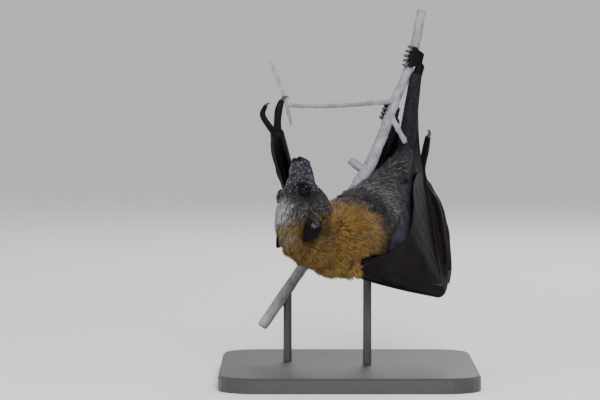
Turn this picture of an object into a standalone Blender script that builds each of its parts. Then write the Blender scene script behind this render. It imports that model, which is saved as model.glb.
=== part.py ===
"""Grey-headed flying fox at life size, holding a cut branch on a display stand.

The bat hangs by both feet from an upright branch and hooks a side twig with its left thumb.
Its back sags towards the floor, its head is curled up over the belly, and its right wing
reaches back along the body.  +X runs to the bat's right, -Y is the side that its face and
right flank show to, and +Z is up.  The origin is the middle of the stand's underside.

The flesh is lofted along the skeleton, fused into one skin and then parted by thin cuts.
"""
import math

import bmesh
import bpy
from mathutils import Matrix, Vector
from mathutils.geometry import intersect_ray_tri

MM = 0.001

# ---- driving dimensions, in millimetres ---------------------------------------------------
GAP = 0.35                # clear space kept between touching pieces
SKIN_VOXEL = 1.2          # cell of the remesh that fuses the flesh
SKIN_FACES = 2100         # triangles left on the whole fused flesh
MEMBRANE_THICK = 1.3      # wing skin
EYE_RADIUS = 5.6
BRANCH_RADII = (4.3, 4.5, 4.8, 5.0, 6.0, 5.6, 5.2, 5.0)
TOE_RADII = (2.0, 1.8, 1.5, 1.6, 1.4, 1.1, 0.8)     # from the sole out to the claw's end
TOE_STAGGER = (-6, 3, 7, 2, -9)                     # how far each toe reaches round, per cent
ROD_RADIUS = 4.0
BASE_SIZE = (240.0, 276.0)
BASE_THICK = 14.0
BASE_CORNER = 34.0
CRUMB_AREA = 12.0         # square millimetres; smaller loose faces are dropped

# ---- the head's own axes, with the middle between the ears as its origin ------------------
HEAD_AT = Vector((-50, -90, 144))
HEAD_FORWARD = Vector((-0.10, 0.188, 0.976)).normalized()
HEAD_RIGHT = Vector((0.68, -0.70, 0.205)).normalized()
HEAD_CROWN = HEAD_RIGHT.cross(HEAD_FORWARD)

# forward, crown-ward middle, half width, half height, all with the coat
HEAD_STATIONS = (
    (-13, -3.0, 18.0, 17.0),
    (0, -5.0, 22.5, 21.5),
    (12, -6.0, 24.0, 23.5),
    (24, -8.0, 22.0, 22.0),
    (34, -11.0, 17.6, 19.0),
    (42, -13.5, 14.0, 15.2),
    (50, -15.0, 11.8, 12.2),
    (58, -15.6, 10.2, 10.4),
    (63, -16.0, 8.6, 8.6),
)
# the ruff between jaw and chest: forward, outward, crown-ward, radius
THROAT = ((44, 4, -17, 12), (36, 5, -20, 15), (27, 6, -24, 16.5), (14, 6, -24, 19),
          (1, 5, -19, 21))
EYE_PLACE = (36.0, 11.4, -4.8)       # forward, outward, crown-ward
EAR_ROOT = {"right": (8.0, 19.5, -10.0), "left": (7.0, 14.0, -2.0)}
EAR_REACH = {"right": Vector((-10, -17, -20)), "left": Vector((-5, 13, -18))}
EAR_WIDTH_WAY = {"right": Vector((0.86, -0.06, -0.50)), "left": Vector((-0.75, 0.35, 0.45))}

# ---- trunk: middle, half width across the body, half depth from back to belly -------------
BODY_RIGHT = Vector((0.769, -0.606, 0.195))
TRUNK_STATIONS = (
    ((44, 54, 193), 12.5, 12),
    ((38, 42, 185), 16, 16),
    ((30, 17, 171), 23, 24),
    ((16, -12, 153), 34, 33),
    ((-1, -43, 137), 39, 36),
    ((-14, -60, 133), 37, 35),
)
NECK_STATIONS = (
    ((-10, -56, 134), 34, 33),
    ((-24, -71, 131), 27, 25),
    ((-36, -81, 131), 24, 23),
    ((-43, -85, 137), 20, 20),
)

# ---- limbs: joint places and radii -------------------------------------------------------
ARM = {
    "right": (((-5, -56, 122), 17), ((13, -68, 109), 12), ((49, -33, 94), 8.5),
              ((86, 7, 82), 7.0)),
    "left": (((-10, -30, 132), 20), ((-28, -22, 128), 15), ((-40, 26, 131), 9.5),
             ((-46, 80, 137), 7.5)),
}
FOREARM = {
    "right": (((86, 7, 82), 7.0), ((86, 30, 99), 6.2), ((83, 66, 128), 5.4),
              ((76, 120, 177), 6.4)),
    "left": (((-46, 80, 137), 7.5), ((-49, 47, 162), 6.2), ((-55, 10, 192), 5.4),
             ((-66, -49, 232), 6.6)),
}
SHOULDER_CUT = {"right": 0.85, "left": 0.5}     # share of the way down the upper arm
# folded fingers: middle, half width, half depth
HAND = {
    "right": (((77, 120, 176), 7, 7), ((85, 104, 157), 7.5, 9), ((90, 76, 129), 8, 12),
              ((92, 46, 104), 7.5, 12), ((89, 20, 84), 6, 8)),
    "left": (((-67, -47, 231), 6.5, 6.5), ((-66, -34, 219), 6, 8), ((-60, -6, 197), 6, 10),
             ((-54, 22, 175), 6, 10), ((-51, 48, 155), 5, 8)),
}
THUMB = {
    "right": ((76, 120, 178), (74, 118, 192), (77, 108, 211), (79, 101, 224)),
    "left": ((-66, -49, 232), (-66, -53, 243), (-65, -55.5, 254), (-62.5, -54, 262)),
}
THUMB_CLAW = {
    "right": ((79, 101, 223), (80, 97, 229), (78, 92, 231.5)),
    "left": ((-62.8, -54.5, 261), (-59.5, -51, 266.5), (-56.2, -46.5, 266)),
}
INDEX = {
    "left": ((-67, -48, 231), (-75, -44, 241), (-80, -42, 250), (-77, -46, 258)),
}
THIGH = {
    "right": (((42, 46, 187), 14), ((47, 56, 194), 12.5), ((54, 72, 205), 10.5),
              ((57, 86, 213), 8.8)),
    "left": (((39, 50, 184), 14), ((35, 72, 180), 12.5), ((31, 94, 181), 10.5),
             ((28, 112, 188), 8.6)),
}
SHANK = {
    "right": (((57, 86, 213), 8.8), ((59, 81, 230), 8.3), ((62, 74, 254), 7.2),
              ((65.5, 67, 281), 6.0)),
    "left": (((28, 112, 188), 8.6), ((31, 103, 203), 7.5), ((38, 83, 220), 6.3),
             ((45, 66, 236), 5.6)),
}

# ---- the perch ---------------------------------------------------------------------------
BRANCH = ((72, 82, 347), (62, 74, 299), (44, 62, 255), (32, 54, 223), (18, 44, 193),
          (-7, 36, 155), (-45, 24, 100), (-81, 10, 48))
STUB = ((42, 58, 245), (50, 50, 231), (55, 44, 221))
SIDE_SHOOT = ((19, 45, 195), (11, 47, 198), (3, 50, 204))
TWIG = ((45, 63, 260), (14, 34, 258), (-22, -8, 257), (-58, -41, 258.5))
HOOK_TWIG = ((-73, -36, 299), (-65, -41, 280), (-58.5, -44, 262), (-53, -42, 240))
ROD_PLACES = {"body": (18, -10, 130), "perch": (-57, 19.3, 84)}

# ---- colours: red, green, blue, roughness ------------------------------------------------
FINISHES = {
    "face_fur": (0.16, 0.15, 0.15, 0.85),
    "mantle_fur": (0.42, 0.23, 0.06, 0.85),
    "body_fur": (0.15, 0.145, 0.14, 0.88),
    "wing_skin": (0.035, 0.028, 0.033, 0.5),
    "eye": (0.02, 0.012, 0.01, 0.08),
    "bark": (0.48, 0.45, 0.46, 0.75),
    "stand": (0.03, 0.03, 0.032, 0.45),
}


# ---- small tools -------------------------------------------------------------------------
def clear_scene():
    for thing in list(bpy.data.objects):
        bpy.data.objects.remove(thing, do_unlink=True)


def finish_material(kind):
    """One Principled material for each kind of surface."""
    name = "finish_" + kind
    material = bpy.data.materials.get(name)
    if material:
        return material
    red, green, blue, roughness = FINISHES[kind]
    material = bpy.data.materials.new(name)
    material.use_nodes = True
    shader = material.node_tree.nodes["Principled BSDF"]
    shader.inputs["Base Color"].default_value = (red, green, blue, 1.0)
    shader.inputs["Roughness"].default_value = roughness
    return material


def add_object(name, shape, kind=None):
    """Wrap a bmesh, given in millimetres, as an object of triangles in metres."""
    bmesh.ops.triangulate(shape, faces=shape.faces)
    mesh = bpy.data.meshes.new(name)
    shape.to_mesh(mesh)
    shape.free()
    mesh.transform(Matrix.Scale(MM, 4))
    thing = bpy.data.objects.new(name, mesh)
    bpy.context.collection.objects.link(thing)
    if kind:
        mesh.materials.append(finish_material(kind))
    return thing


def baked(thing, name):
    """A plain mesh of the object as its modifiers leave it."""
    bpy.context.view_layer.update()
    graph = bpy.context.evaluated_depsgraph_get()
    mesh = bpy.data.meshes.new_from_object(thing.evaluated_get(graph))
    mesh.name = name
    return mesh


def apply_modifiers(thing):
    mesh = baked(thing, thing.name)
    thing.modifiers.clear()
    thing.data = mesh


def drop(*things):
    for thing in things:
        bpy.data.objects.remove(thing, do_unlink=True)


def cut(thing, *cutters, operation="DIFFERENCE", crossing=False):
    """Boolean a piece with each cutter, and keep the result as its mesh.

    `crossing` is for pieces whose own faces may touch or cross.
    """
    for cutter in cutters:
        step = thing.modifiers.new("cut", "BOOLEAN")
        step.operation = operation
        step.solver = "EXACT"
        step.use_self = crossing
        step.object = cutter
    apply_modifiers(thing)


def joined(name, things):
    """One object holding the meshes of several, which it uses up."""
    shape = bmesh.new()
    for thing in things:
        shape.from_mesh(thing.data)
    drop(*things)
    bmesh.ops.scale(shape, vec=(1 / MM, 1 / MM, 1 / MM), verts=shape.verts)
    return add_object(name, shape)


def grown(thing, amount):
    """A copy swollen along its normals, used as a cutter that leaves a gap."""
    shape = bmesh.new()
    shape.from_mesh(thing.data)
    shape.normal_update()
    moves = [vert.normal * amount * MM for vert in shape.verts]
    for vert, move in zip(shape.verts, moves):
        vert.co += move
    bmesh.ops.scale(shape, vec=(1 / MM, 1 / MM, 1 / MM), verts=shape.verts)
    return add_object(thing.name + "_grown", shape)


def clearance(thing):
    """Cutters that keep other pieces clear of a thing.

    The slighter ones cover the creases, where the fullest one folds over itself.
    """
    return [grown(thing, GAP * share) for share in (1, 0.5, 0)]


def islands(shape):
    """The separate bodies of a bmesh, as lists of faces."""
    left = set(shape.faces)
    groups = []
    while left:
        seed = left.pop()
        group, queue = [seed], [seed]
        while queue:
            for edge in queue.pop().edges:
                for face in edge.link_faces:
                    if face in left:
                        left.discard(face)
                        group.append(face)
                        queue.append(face)
        groups.append(group)
    return groups


def keep_largest(thing):
    """Drop crumbs that a cut left beside the main body."""
    shape = bmesh.new()
    shape.from_mesh(thing.data)
    groups = sorted(islands(shape), key=lambda group: sum(f.calc_area() for f in group))
    for group in groups[:-1]:
        bmesh.ops.delete(shape, geom=group, context="FACES")
    shape.to_mesh(thing.data)
    shape.free()


def smoothed(stations, steps):
    """Catmull-Rom rows through rows of numbers, with `steps` spans between two of them."""
    rows = [list(row) for row in stations]
    padded = [[2 * a - b for a, b in zip(rows[0], rows[1])]] + rows
    padded.append([2 * a - b for a, b in zip(rows[-1], rows[-2])])
    out = []
    for i in range(1, len(padded) - 2):
        p0, p1, p2, p3 = padded[i - 1:i + 3]
        for step in range(steps):
            t = step / steps
            out.append([0.5 * (2 * b + (c - a) * t + (2 * a - 5 * b + 4 * c - d) * t * t
                               + (3 * b - a - 3 * c + d) * t ** 3)
                        for a, b, c, d in zip(p0, p1, p2, p3)])
    out.append(rows[-1])
    return out


def loft(name, stations, way, sides=16, steps=3, cup=0.0, tips=(True, True), kind=None):
    """Closed tube through (x, y, z, half width along `way`, half depth across it).

    `cup` bends the section like a leaf, and `tips` rounds the start and the end.
    """
    rows = smoothed(stations, steps)
    middles = [Vector(row[:3]) for row in rows]
    shape = bmesh.new()
    rings = []

    def ring(middle, along, wide, deep):
        across = (way - along * way.dot(along)).normalized()
        normal = along.cross(across)
        verts = []
        for k in range(sides):
            angle = 2 * math.pi * k / sides
            lift = cup * math.cos(angle) ** 2
            verts.append(shape.verts.new(
                middle + across * wide * math.cos(angle)
                + normal * (deep * math.sin(angle) + lift)))
        rings.append(verts)

    last = len(rows) - 1
    for i, row in enumerate(rows):
        along = (middles[min(i + 1, last)] - middles[max(i - 1, 0)]).normalized()
        wide, deep = row[3], row[4]
        bulge = 0.8 * min(wide, deep)
        if i == 0 and tips[0]:
            for angle in (1.2, 0.65):
                ring(middles[0] - along * bulge * math.sin(angle), along,
                     wide * math.cos(angle), deep * math.cos(angle))
        ring(middles[i], along, wide, deep)
        if i == last and tips[1]:
            for angle in (0.65, 1.2):
                ring(middles[last] + along * bulge * math.sin(angle), along,
                     wide * math.cos(angle), deep * math.cos(angle))
    for first, second in zip(rings, rings[1:]):
        for k in range(sides):
            n = (k + 1) % sides
            shape.faces.new((first[k], first[n], second[n], second[k]))
    shape.faces.new(list(reversed(rings[0])))
    shape.faces.new(rings[-1])
    bmesh.ops.recalc_face_normals(shape, faces=shape.faces)
    return add_object(name, shape, kind)


def tube(name, stations, sides=8, steps=2, kind=None):
    """Round loft through (point, radius) pairs."""
    rows = [(*place, radius, radius) for place, radius in stations]
    first, last = Vector(rows[0][:3]), Vector(rows[-1][:3])
    run = (last - first).normalized()
    way = Vector((0, 0, 1)).cross(run)
    if way.length < 0.2:
        way = Vector((1, 0, 0)).cross(run)
    return loft(name, rows, way.normalized(), sides, steps, kind=kind)


def tapered(points, start, end):
    """(point, radius) pairs whose radius runs evenly from start to end."""
    last = len(points) - 1
    return [(point, start + (end - start) * i / last) for i, point in enumerate(points)]


def sheet(name, curves, thick, columns=10, rows=4, kind="wing_skin"):
    """A membrane swept through guide curves, each a list of points, with a real thickness."""
    guides = []
    for curve in curves:
        line = [Vector(p) for p in smoothed(curve, 6)]
        guides.append([line[round(i * (len(line) - 1) / columns)] for i in range(columns + 1)])
    grid = []
    for i in range(columns + 1):
        across = smoothed([tuple(guide[i]) for guide in guides], 6)
        pick = [across[round(j * (len(across) - 1) / rows)] for j in range(rows + 1)]
        grid.append([Vector(p) for p in pick])
    shape = bmesh.new()
    verts = [[shape.verts.new(p) for p in row] for row in grid]
    for i in range(columns):
        for j in range(rows):
            shape.faces.new((verts[i][j], verts[i + 1][j], verts[i + 1][j + 1], verts[i][j + 1]))
    bmesh.ops.remove_doubles(shape, verts=shape.verts, dist=0.05)
    bmesh.ops.triangulate(shape, faces=shape.faces)
    shape.normal_update()
    thing = add_object(name, shape, kind)
    shell = thing.modifiers.new("wall", "SOLIDIFY")
    shell.thickness = thick * MM
    shell.offset = 0.0
    shell.use_even_offset = False
    apply_modifiers(thing)
    return thing


# ---- flesh -------------------------------------------------------------------------------
def head_point(forward, outward, crown, side=1):
    """A place given along the head's own axes; side is 1 for right and -1 for left."""
    return (HEAD_AT + HEAD_FORWARD * forward + HEAD_RIGHT * outward * side
            + HEAD_CROWN * crown)


def head_loft():
    rows = [(*head_point(forward, 0, crown), wide, deep)
            for forward, crown, wide, deep in HEAD_STATIONS]
    return loft("head_loft", rows, HEAD_RIGHT, sides=20, steps=2)


def ear_loft(side):
    """Cupped leaf of an ear, from inside the head out to its tip."""
    sign = 1 if side == "right" else -1
    root = head_point(*EAR_ROOT[side], sign)
    reach = EAR_REACH[side]
    profile = ((0.0, 4.8), (0.25, 6.4), (0.5, 6.6), (0.75, 4.8), (0.92, 2.7), (1.0, 1.4))
    rows = [(*(root + reach * along), half, 1.5) for along, half in profile]
    return loft("ear_" + side, rows, EAR_WIDTH_WAY[side], sides=12, steps=1,
                cup=2.5 * sign, kind="wing_skin")


def limb_rows(places):
    return [(*place, radius, radius) for place, radius in places]


def flesh_lofts():
    parts = [head_loft()]
    trunk = [(*place, wide, deep) for place, wide, deep in TRUNK_STATIONS]
    neck = [(*place, wide, deep) for place, wide, deep in NECK_STATIONS]
    parts.append(loft("trunk_loft", trunk, BODY_RIGHT, sides=24))
    parts.append(loft("neck_loft", neck, BODY_RIGHT, sides=24))
    ruff = [(*head_point(*place), radius, radius) for *place, radius in THROAT]
    parts.append(loft("throat_loft", ruff, HEAD_RIGHT, sides=20))
    for side in ("left", "right"):
        for table in (ARM, FOREARM, THIGH, SHANK):
            parts.append(loft("limb", limb_rows(table[side]), Vector((0.2, 0.1, 1)), sides=14))
    for foot in FEET.values():
        parts.append(tube("sole", foot["sole"]))
        for toe in foot["toes"]:
            parts.append(tube("toe", list(zip(toe, TOE_RADII))))
    return parts


def fused_flesh():
    """All the lofts as one closed skin, evened out and thinned."""
    body = joined("flesh", flesh_lofts())
    fuse = body.modifiers.new("fuse", "REMESH")
    fuse.mode = "VOXEL"
    fuse.voxel_size = SKIN_VOXEL * MM
    ease = body.modifiers.new("ease", "SMOOTH")
    ease.factor = 0.5
    ease.iterations = 3
    apply_modifiers(body)
    keep_largest(body)
    thin = body.modifiers.new("thin", "DECIMATE")
    thin.ratio = SKIN_FACES / (2 * len(body.data.polygons))
    thin.use_collapse_triangulate = True
    apply_modifiers(body)
    return body


# ---- feet, which wrap round the branch ---------------------------------------------------
def branch_frame(height):
    """The branch's middle and direction at a height."""
    rows = [Vector(p) for p in smoothed(BRANCH, 8)]
    for low, high in zip(rows[1:], rows):
        if low.z <= height <= high.z:
            t = (height - low.z) / (high.z - low.z)
            return low.lerp(high, t), (high - low).normalized()
    raise ValueError("no branch at that height")


def foot_rows(ankle, grip_height, way, turn, radius, spacing):
    """Sole from the ankle to the toes, and five toes round the branch.

    A toe's last two points are its claw.  `way` points from the branch to the sole, and
    `turn` is 1 where the toes wrap over the near side of the branch and -1 over the far side.
    """
    middle, up = branch_frame(grip_height)
    outward = (Vector(way) - up * up.dot(Vector(way))).normalized()
    front = up.cross(outward) * -turn
    orbit = radius + max(TOE_RADII) + 0.6
    toes = []
    for k, stagger in enumerate(TOE_STAGGER):

        def at(degrees, reach):
            angle = math.radians(degrees * (1 + 0.01 * stagger))
            lift = up * (k - 2) * spacing * (0.52 + 0.48 * min(1.0, degrees / 120))
            return middle + lift + (outward * math.cos(angle) + front * math.sin(angle)) * reach

        spread = middle + up * (k - 2) * 1.8 - up * 8 + outward * (orbit + 2.0) + front * 0.5
        toes.append([spread, at(12, orbit + 1.4), at(50, orbit + 0.6), at(88, orbit + 0.1),
                     at(118, orbit + 0.3), at(146, orbit + 0.5), at(172, orbit)])
    knuckle = middle - up * 6 + outward * (orbit + 2.6) + front * 0.5
    sole = ((ankle, 5.6), (Vector(ankle).lerp(knuckle, 0.55), 5.2), (knuckle, 4.6))
    return {"sole": sole, "toes": toes}


FEET = {
    "right": foot_rows((65.5, 67, 281), 301, (1, 0, 0), 1, 4.5, 4.6),
    "left": foot_rows((45, 66, 236), 250, (0.75, 0.66, 0), -1, 4.8, 4.2),
}


# ---- the cuts that part the flesh --------------------------------------------------------
def cut_disc(middle, along, radius):
    shape = bmesh.new()
    bmesh.ops.create_cone(shape, cap_ends=True, segments=28, radius1=radius, radius2=radius,
                          depth=GAP)
    turn = Vector((0, 0, 1)).rotation_difference(Vector(along).normalized()).to_matrix()
    bmesh.ops.transform(shape, matrix=Matrix.Translation(middle) @ turn.to_4x4(),
                        verts=shape.verts)
    return add_object("cut_disc", shape)


def fold_plane(before, joint, after):
    """Direction of the cut that halves the angle of a bent joint."""
    joint = Vector(joint)
    return (joint - Vector(before)).normalized() + (Vector(after) - joint).normalized()


def part_cuts():
    """(middle, direction, radius) of every thin cut."""
    cuts = [
        ((-42, -84, 138), Vector((-0.62, -0.38, 0.68)), 50),
        ((-20, -66, 130), Vector((0.72, 0.62, 0.30)), 58),
        ((24, 2, 162), Vector((0.48, 0.79, 0.37)), 46),
    ]
    for side in ("left", "right"):
        arm, forearm, thigh, shank = ARM[side], FOREARM[side], THIGH[side], SHANK[side]
        shoulder, elbow = Vector(arm[1][0]), Vector(arm[2][0])
        cuts.append((shoulder.lerp(elbow, SHOULDER_CUT[side]), elbow - shoulder, 20))
        cuts.append((arm[3][0], fold_plane(arm[2][0], arm[3][0], forearm[1][0]), 32))
        hip, knee = Vector(thigh[1][0]), Vector(thigh[2][0])
        cuts.append((hip.lerp(knee, 0.85), knee - hip, 22))
        cuts.append((thigh[3][0], fold_plane(thigh[2][0], thigh[3][0], shank[1][0]), 26))
        ankle = Vector(shank[3][0])
        cuts.append((ankle, ankle - Vector(shank[2][0]), 12))
    return cuts


def node_seeds():
    """A point inside each piece of flesh, and its kind of surface."""
    seeds = {
        "head": (head_point(20, 0, -8), "face_fur"),
        "neck": ((-38, -82, 127), "mantle_fur"),
        "trunk_chest": ((0, -40, 138), "mantle_fur"),
        "trunk_belly": ((36, 34, 180), "body_fur"),
    }
    for side in ("left", "right"):
        seeds["upper_arm_" + side] = (Vector(ARM[side][2][0]), "body_fur")
        seeds["forearm_" + side] = (Vector(FOREARM[side][2][0]), "wing_skin")
        seeds["thigh_" + side] = (Vector(THIGH[side][2][0]).lerp(
            Vector(THIGH[side][3][0]), 0.5), "body_fur")
        seeds["shank_" + side] = (Vector(SHANK[side][2][0]), "wing_skin")
        seeds["foot_" + side] = (Vector(FEET[side]["sole"][1][0]), "wing_skin")
    return seeds


def split_flesh(body):
    """Cut the flesh at every joint and give each piece its own node."""
    discs = [cut_disc(*spec) for spec in part_cuts()]
    cut(body, *discs)
    drop(*discs)
    shape = bmesh.new()
    shape.from_mesh(body.data)
    bmesh.ops.scale(shape, vec=(1 / MM, 1 / MM, 1 / MM), verts=shape.verts)
    bmesh.ops.triangulate(shape, faces=shape.faces)
    groups = [group for group in islands(shape)
              if sum(face.calc_area() for face in group) > CRUMB_AREA]
    nodes = {}
    for name, (seed, kind) in node_seeds().items():
        reach = {}
        for i, group in enumerate(groups):
            corners = {vert for face in group for vert in face.verts}
            reach[i] = min((vert.co - Vector(seed)).length for vert in corners)
        nearest = min(reach, key=reach.get)
        for i, group in enumerate(groups):
            if holds(group, Vector(seed)):
                nearest = i
        if nearest in nodes:
            raise ValueError(name + " and " + nodes[nearest][0] + " were not parted")
        nodes[nearest] = (name, kind)
    if len(nodes) != len(groups):
        spare = [i for i in range(len(groups)) if i not in nodes]
        places = [tuple(round(c) for c in groups[i][0].calc_center_median()) for i in spare]
        raise ValueError("loose pieces at " + str(places))
    drop(body)
    for i, (name, kind) in nodes.items():
        piece = bmesh.new()
        copies = {}
        for face in groups[i]:
            for vert in face.verts:
                if vert not in copies:
                    copies[vert] = piece.verts.new(vert.co)
            piece.faces.new([copies[vert] for vert in face.verts])
        add_object(name, piece, kind)
    shape.free()


def holds(group, place):
    """Whether a closed group of triangles has the place inside it."""
    ray = Vector((0.301, 0.507, 0.808)).normalized()
    crossings = 0
    for face in group:
        a, b, c = (vert.co for vert in face.verts)
        if intersect_ray_tri(a, b, c, ray, place, True):
            crossings += 1
    return crossings % 2 == 1


# ---- hands, thumbs, eyes -----------------------------------------------------------------
def add_hands(growth):
    """Folded fingers, thumbs and ears; returns the space that others keep clear of."""
    shells = []
    for side in ("left", "right"):
        rows = [(*place, wide, deep) for place, wide, deep in HAND[side]]
        hand = loft("hand_" + side, rows, Vector((1, 0, 0.1)), sides=10, steps=2,
                    kind="wing_skin")
        thumb = tube("thumb_" + side, tapered(THUMB[side], 4.4, 2.9), kind="wing_skin")
        claw = tube("claw", tapered(THUMB_CLAW[side], 1.9, 0.45), sides=6)
        cut(thumb, claw, operation="UNION")
        drop(claw)
        pieces = [hand, thumb, ear_loft(side)]
        if side in INDEX:
            pieces.insert(1, tube("index_finger_" + side, tapered(INDEX[side], 3.6, 2.0),
                                  kind="wing_skin"))
        rooms = [grown(piece, GAP) for piece in pieces]
        for i, piece in enumerate(pieces):
            cut(piece, *growth, *rooms[:i], crossing=True)
            keep_largest(piece)
        shells += rooms
    return shells


def add_eyes():
    for side, sign in (("left", -1), ("right", 1)):
        shape = bmesh.new()
        bmesh.ops.create_uvsphere(shape, u_segments=12, v_segments=7, radius=EYE_RADIUS)
        bmesh.ops.translate(shape, vec=head_point(*EYE_PLACE, sign), verts=shape.verts)
        add_object("eye_" + side, shape, "eye")


def eye_sockets():
    sockets = []
    for sign in (-1, 1):
        shape = bmesh.new()
        bmesh.ops.create_uvsphere(shape, u_segments=12, v_segments=7,
                                  radius=EYE_RADIUS + GAP)
        bmesh.ops.translate(shape, vec=head_point(*EYE_PLACE, sign), verts=shape.verts)
        sockets.append(add_object("socket", shape))
    return sockets


# ---- membranes ---------------------------------------------------------------------------
MEMBRANES = {
    # each is two or three guide lines; matching points of the lines face each other
    "wing_front_right": (
        ((3, -62, 103), (16, -77, 100), (38, -52, 93), (62, -27, 85), (87, 2, 79),
         (89, 20, 92), (87, 40, 108), (83, 76, 138), (77, 118, 176)),
        ((2, -64, 116), (15, -80, 118), (32, -67, 120), (47, -49, 127), (58, -28, 140),
         (62, 2, 159), (63, 34, 178), (69, 84, 190), (75, 114, 180)),
    ),
    "wing_rear_right": (
        ((16, -58, 114), (34, -36, 128), (42, -20, 148), (43, 6, 171), (47, 44, 191),
         (58, 76, 214), (61, 77, 244), (65, 68, 273)),
        ((17, -58, 108), (60, -4, 106), (66, 24, 134), (67, 52, 160), (65, 76, 188),
         (66, 86, 214), (66, 80, 240), (66.5, 68, 274)),
        ((13, -62, 108), (86, 8, 81), (86, 50, 114), (81, 86, 146), (76, 112, 176),
         (72, 100, 204), (69, 87, 236), (68, 68, 275)),
    ),
    "wing_front_left": (
        ((-28, -22, 128), (-40, 26, 131), (-46, 80, 137), (-49, 47, 162), (-55, 10, 192),
         (-66, -47, 231)),
        ((-30, -24, 132), (-35, -20, 143), (-42, -20, 162), (-47, -30, 178), (-54, -38, 203),
         (-62, -47, 226)),
    ),
    "wing_rear_left": (
        ((-17, -8, 133), (3, 20, 150), (28, 52, 176)),
        ((-30, 6, 131), (-30, 14, 142), (-12, 10, 160)),
        ((-40, 26, 131), (-46, 78, 137), (-51, 46, 157)),
    ),
    "leg_membrane_left": (
        ((44, 67, 234), (38, 83, 219), (29, 110, 190)),
        ((43, 66, 232), (31, 70, 206), (30, 56, 180)),
    ),
    "tail_membrane": (
        ((50, 66, 198), (56, 84, 212), (60, 78, 240)),
        ((46, 70, 195), (43, 88, 207), (49, 80, 229)),
        ((41, 68, 190), (30, 108, 192), (42, 76, 226)),
    ),
}


def add_membranes(growth, shells):
    rooms = []
    for name, curves in MEMBRANES.items():
        skin = sheet(name, curves, MEMBRANE_THICK)
        room = [sheet("room", curves, MEMBRANE_THICK + 2 * GAP), *clearance(skin)]
        cut(skin, *growth, *shells, *rooms, crossing=True)
        keep_largest(skin)
        rooms += room
    drop(*rooms)


# ---- perch and stand ---------------------------------------------------------------------
def wood(name, points, radii, sides=12, kind="bark"):
    """A length of branch with flat sawn ends."""
    rows = [(*point, radius, radius) for point, radius in zip(points, radii)]
    return loft(name, rows, Vector((1, 0.1, 0)), sides, steps=2, tips=(False, False),
                kind=kind)


def add_perch():
    branch = wood("perch_branch", BRANCH, BRANCH_RADII)
    stub = wood("stub", STUB, (3.0, 2.6, 2.0), sides=8)
    shoot = wood("shoot", SIDE_SHOOT, (4.4, 3.6, 3.0), sides=8)
    cut(branch, stub, shoot, operation="UNION")
    drop(stub, shoot)
    hook = wood("perch_hook_twig", HOOK_TWIG, (1.5, 1.6, 1.7, 1.4), sides=8)
    twig = wood("perch_side_twig", TWIG, (2.3, 2.0, 1.9, 1.7), sides=8)
    for neighbour in (branch, hook):
        shell = grown(neighbour, GAP)
        cut(twig, shell)
        drop(shell)
    keep_largest(twig)
    return branch, twig, hook


def stand_rod(use):
    x, y, top = ROD_PLACES[use]
    foot = BASE_THICK + GAP
    shape = bmesh.new()
    bmesh.ops.create_cone(shape, cap_ends=True, segments=16, radius1=ROD_RADIUS,
                          radius2=ROD_RADIUS, depth=top - foot)
    bmesh.ops.translate(shape, vec=(x, y, (top + foot) / 2), verts=shape.verts)
    return add_object("stand_rod_" + use, shape, "stand")


def add_base():
    """Flat plate with round corners and a softened top edge."""
    half_x, half_y = BASE_SIZE[0] / 2, BASE_SIZE[1] / 2
    steps, bevel = 7, 2.0
    outline = []
    for corner in range(4):
        middle = Vector(((half_x - BASE_CORNER) * (1, -1, -1, 1)[corner],
                         (half_y - BASE_CORNER) * (1, 1, -1, -1)[corner], 0))
        for k in range(steps + 1):
            angle = math.radians(90 * (corner + k / steps))
            outline.append((middle, Vector((math.cos(angle), math.sin(angle), 0))))
    shape = bmesh.new()
    levels = []
    for height, inset in ((0, 0), (BASE_THICK - bevel, 0), (BASE_THICK, bevel)):
        levels.append([shape.verts.new(middle + way * (BASE_CORNER - inset)
                                       + Vector((0, 0, height))) for middle, way in outline])
    count = len(outline)
    for low, high in zip(levels, levels[1:]):
        for k in range(count):
            n = (k + 1) % count
            shape.faces.new((low[k], low[n], high[n], high[k]))
    shape.faces.new(list(reversed(levels[0])))
    shape.faces.new(levels[-1])
    return add_object("stand_base", shape, "stand")


def main():
    clear_scene()
    body = fused_flesh()
    growth = clearance(body)
    branch, twig, hook = add_perch()
    add_base()
    body_rod, perch_rod = stand_rod("body"), stand_rod("perch")
    branch_room = grown(branch, GAP)
    cut(perch_rod, branch_room)
    keep_largest(perch_rod)
    rod_room = grown(body_rod, GAP)
    sockets = eye_sockets()
    cut(body, branch_room, rod_room, *sockets)
    add_eyes()
    shells = add_hands(growth)
    shells += [branch_room, grown(twig, GAP), grown(hook, GAP)]
    add_membranes(growth, shells)
    drop(*growth, rod_room, *shells, *sockets)
    split_flesh(body)


main()
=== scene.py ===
import math

import bpy
import numpy as np
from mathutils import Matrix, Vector
from mathutils.kdtree import KDTree


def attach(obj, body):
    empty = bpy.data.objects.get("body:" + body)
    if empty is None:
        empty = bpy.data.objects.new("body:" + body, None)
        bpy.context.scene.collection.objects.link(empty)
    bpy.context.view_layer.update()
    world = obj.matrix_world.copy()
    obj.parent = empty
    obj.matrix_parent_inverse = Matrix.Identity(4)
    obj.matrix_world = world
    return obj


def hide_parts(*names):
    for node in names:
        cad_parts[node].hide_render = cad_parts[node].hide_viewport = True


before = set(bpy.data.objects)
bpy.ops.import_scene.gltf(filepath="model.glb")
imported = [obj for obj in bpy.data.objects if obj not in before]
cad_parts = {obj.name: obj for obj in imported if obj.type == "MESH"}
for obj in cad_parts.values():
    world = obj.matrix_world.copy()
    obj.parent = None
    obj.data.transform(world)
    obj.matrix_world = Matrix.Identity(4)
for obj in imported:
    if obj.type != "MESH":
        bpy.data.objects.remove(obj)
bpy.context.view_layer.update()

# Looks of a life-size grey-headed flying fox on its perch and stand.  Lengths are in
# millimetres until a mesh is made.  +X runs to the bat's right, -Y is the side that its face
# shows to, and +Z is up.  The skeleton has the same joints as the solids.
MM = 0.001
SKIN_VOXEL = 0.8            # cell of the remesh that fuses the skin
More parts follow.
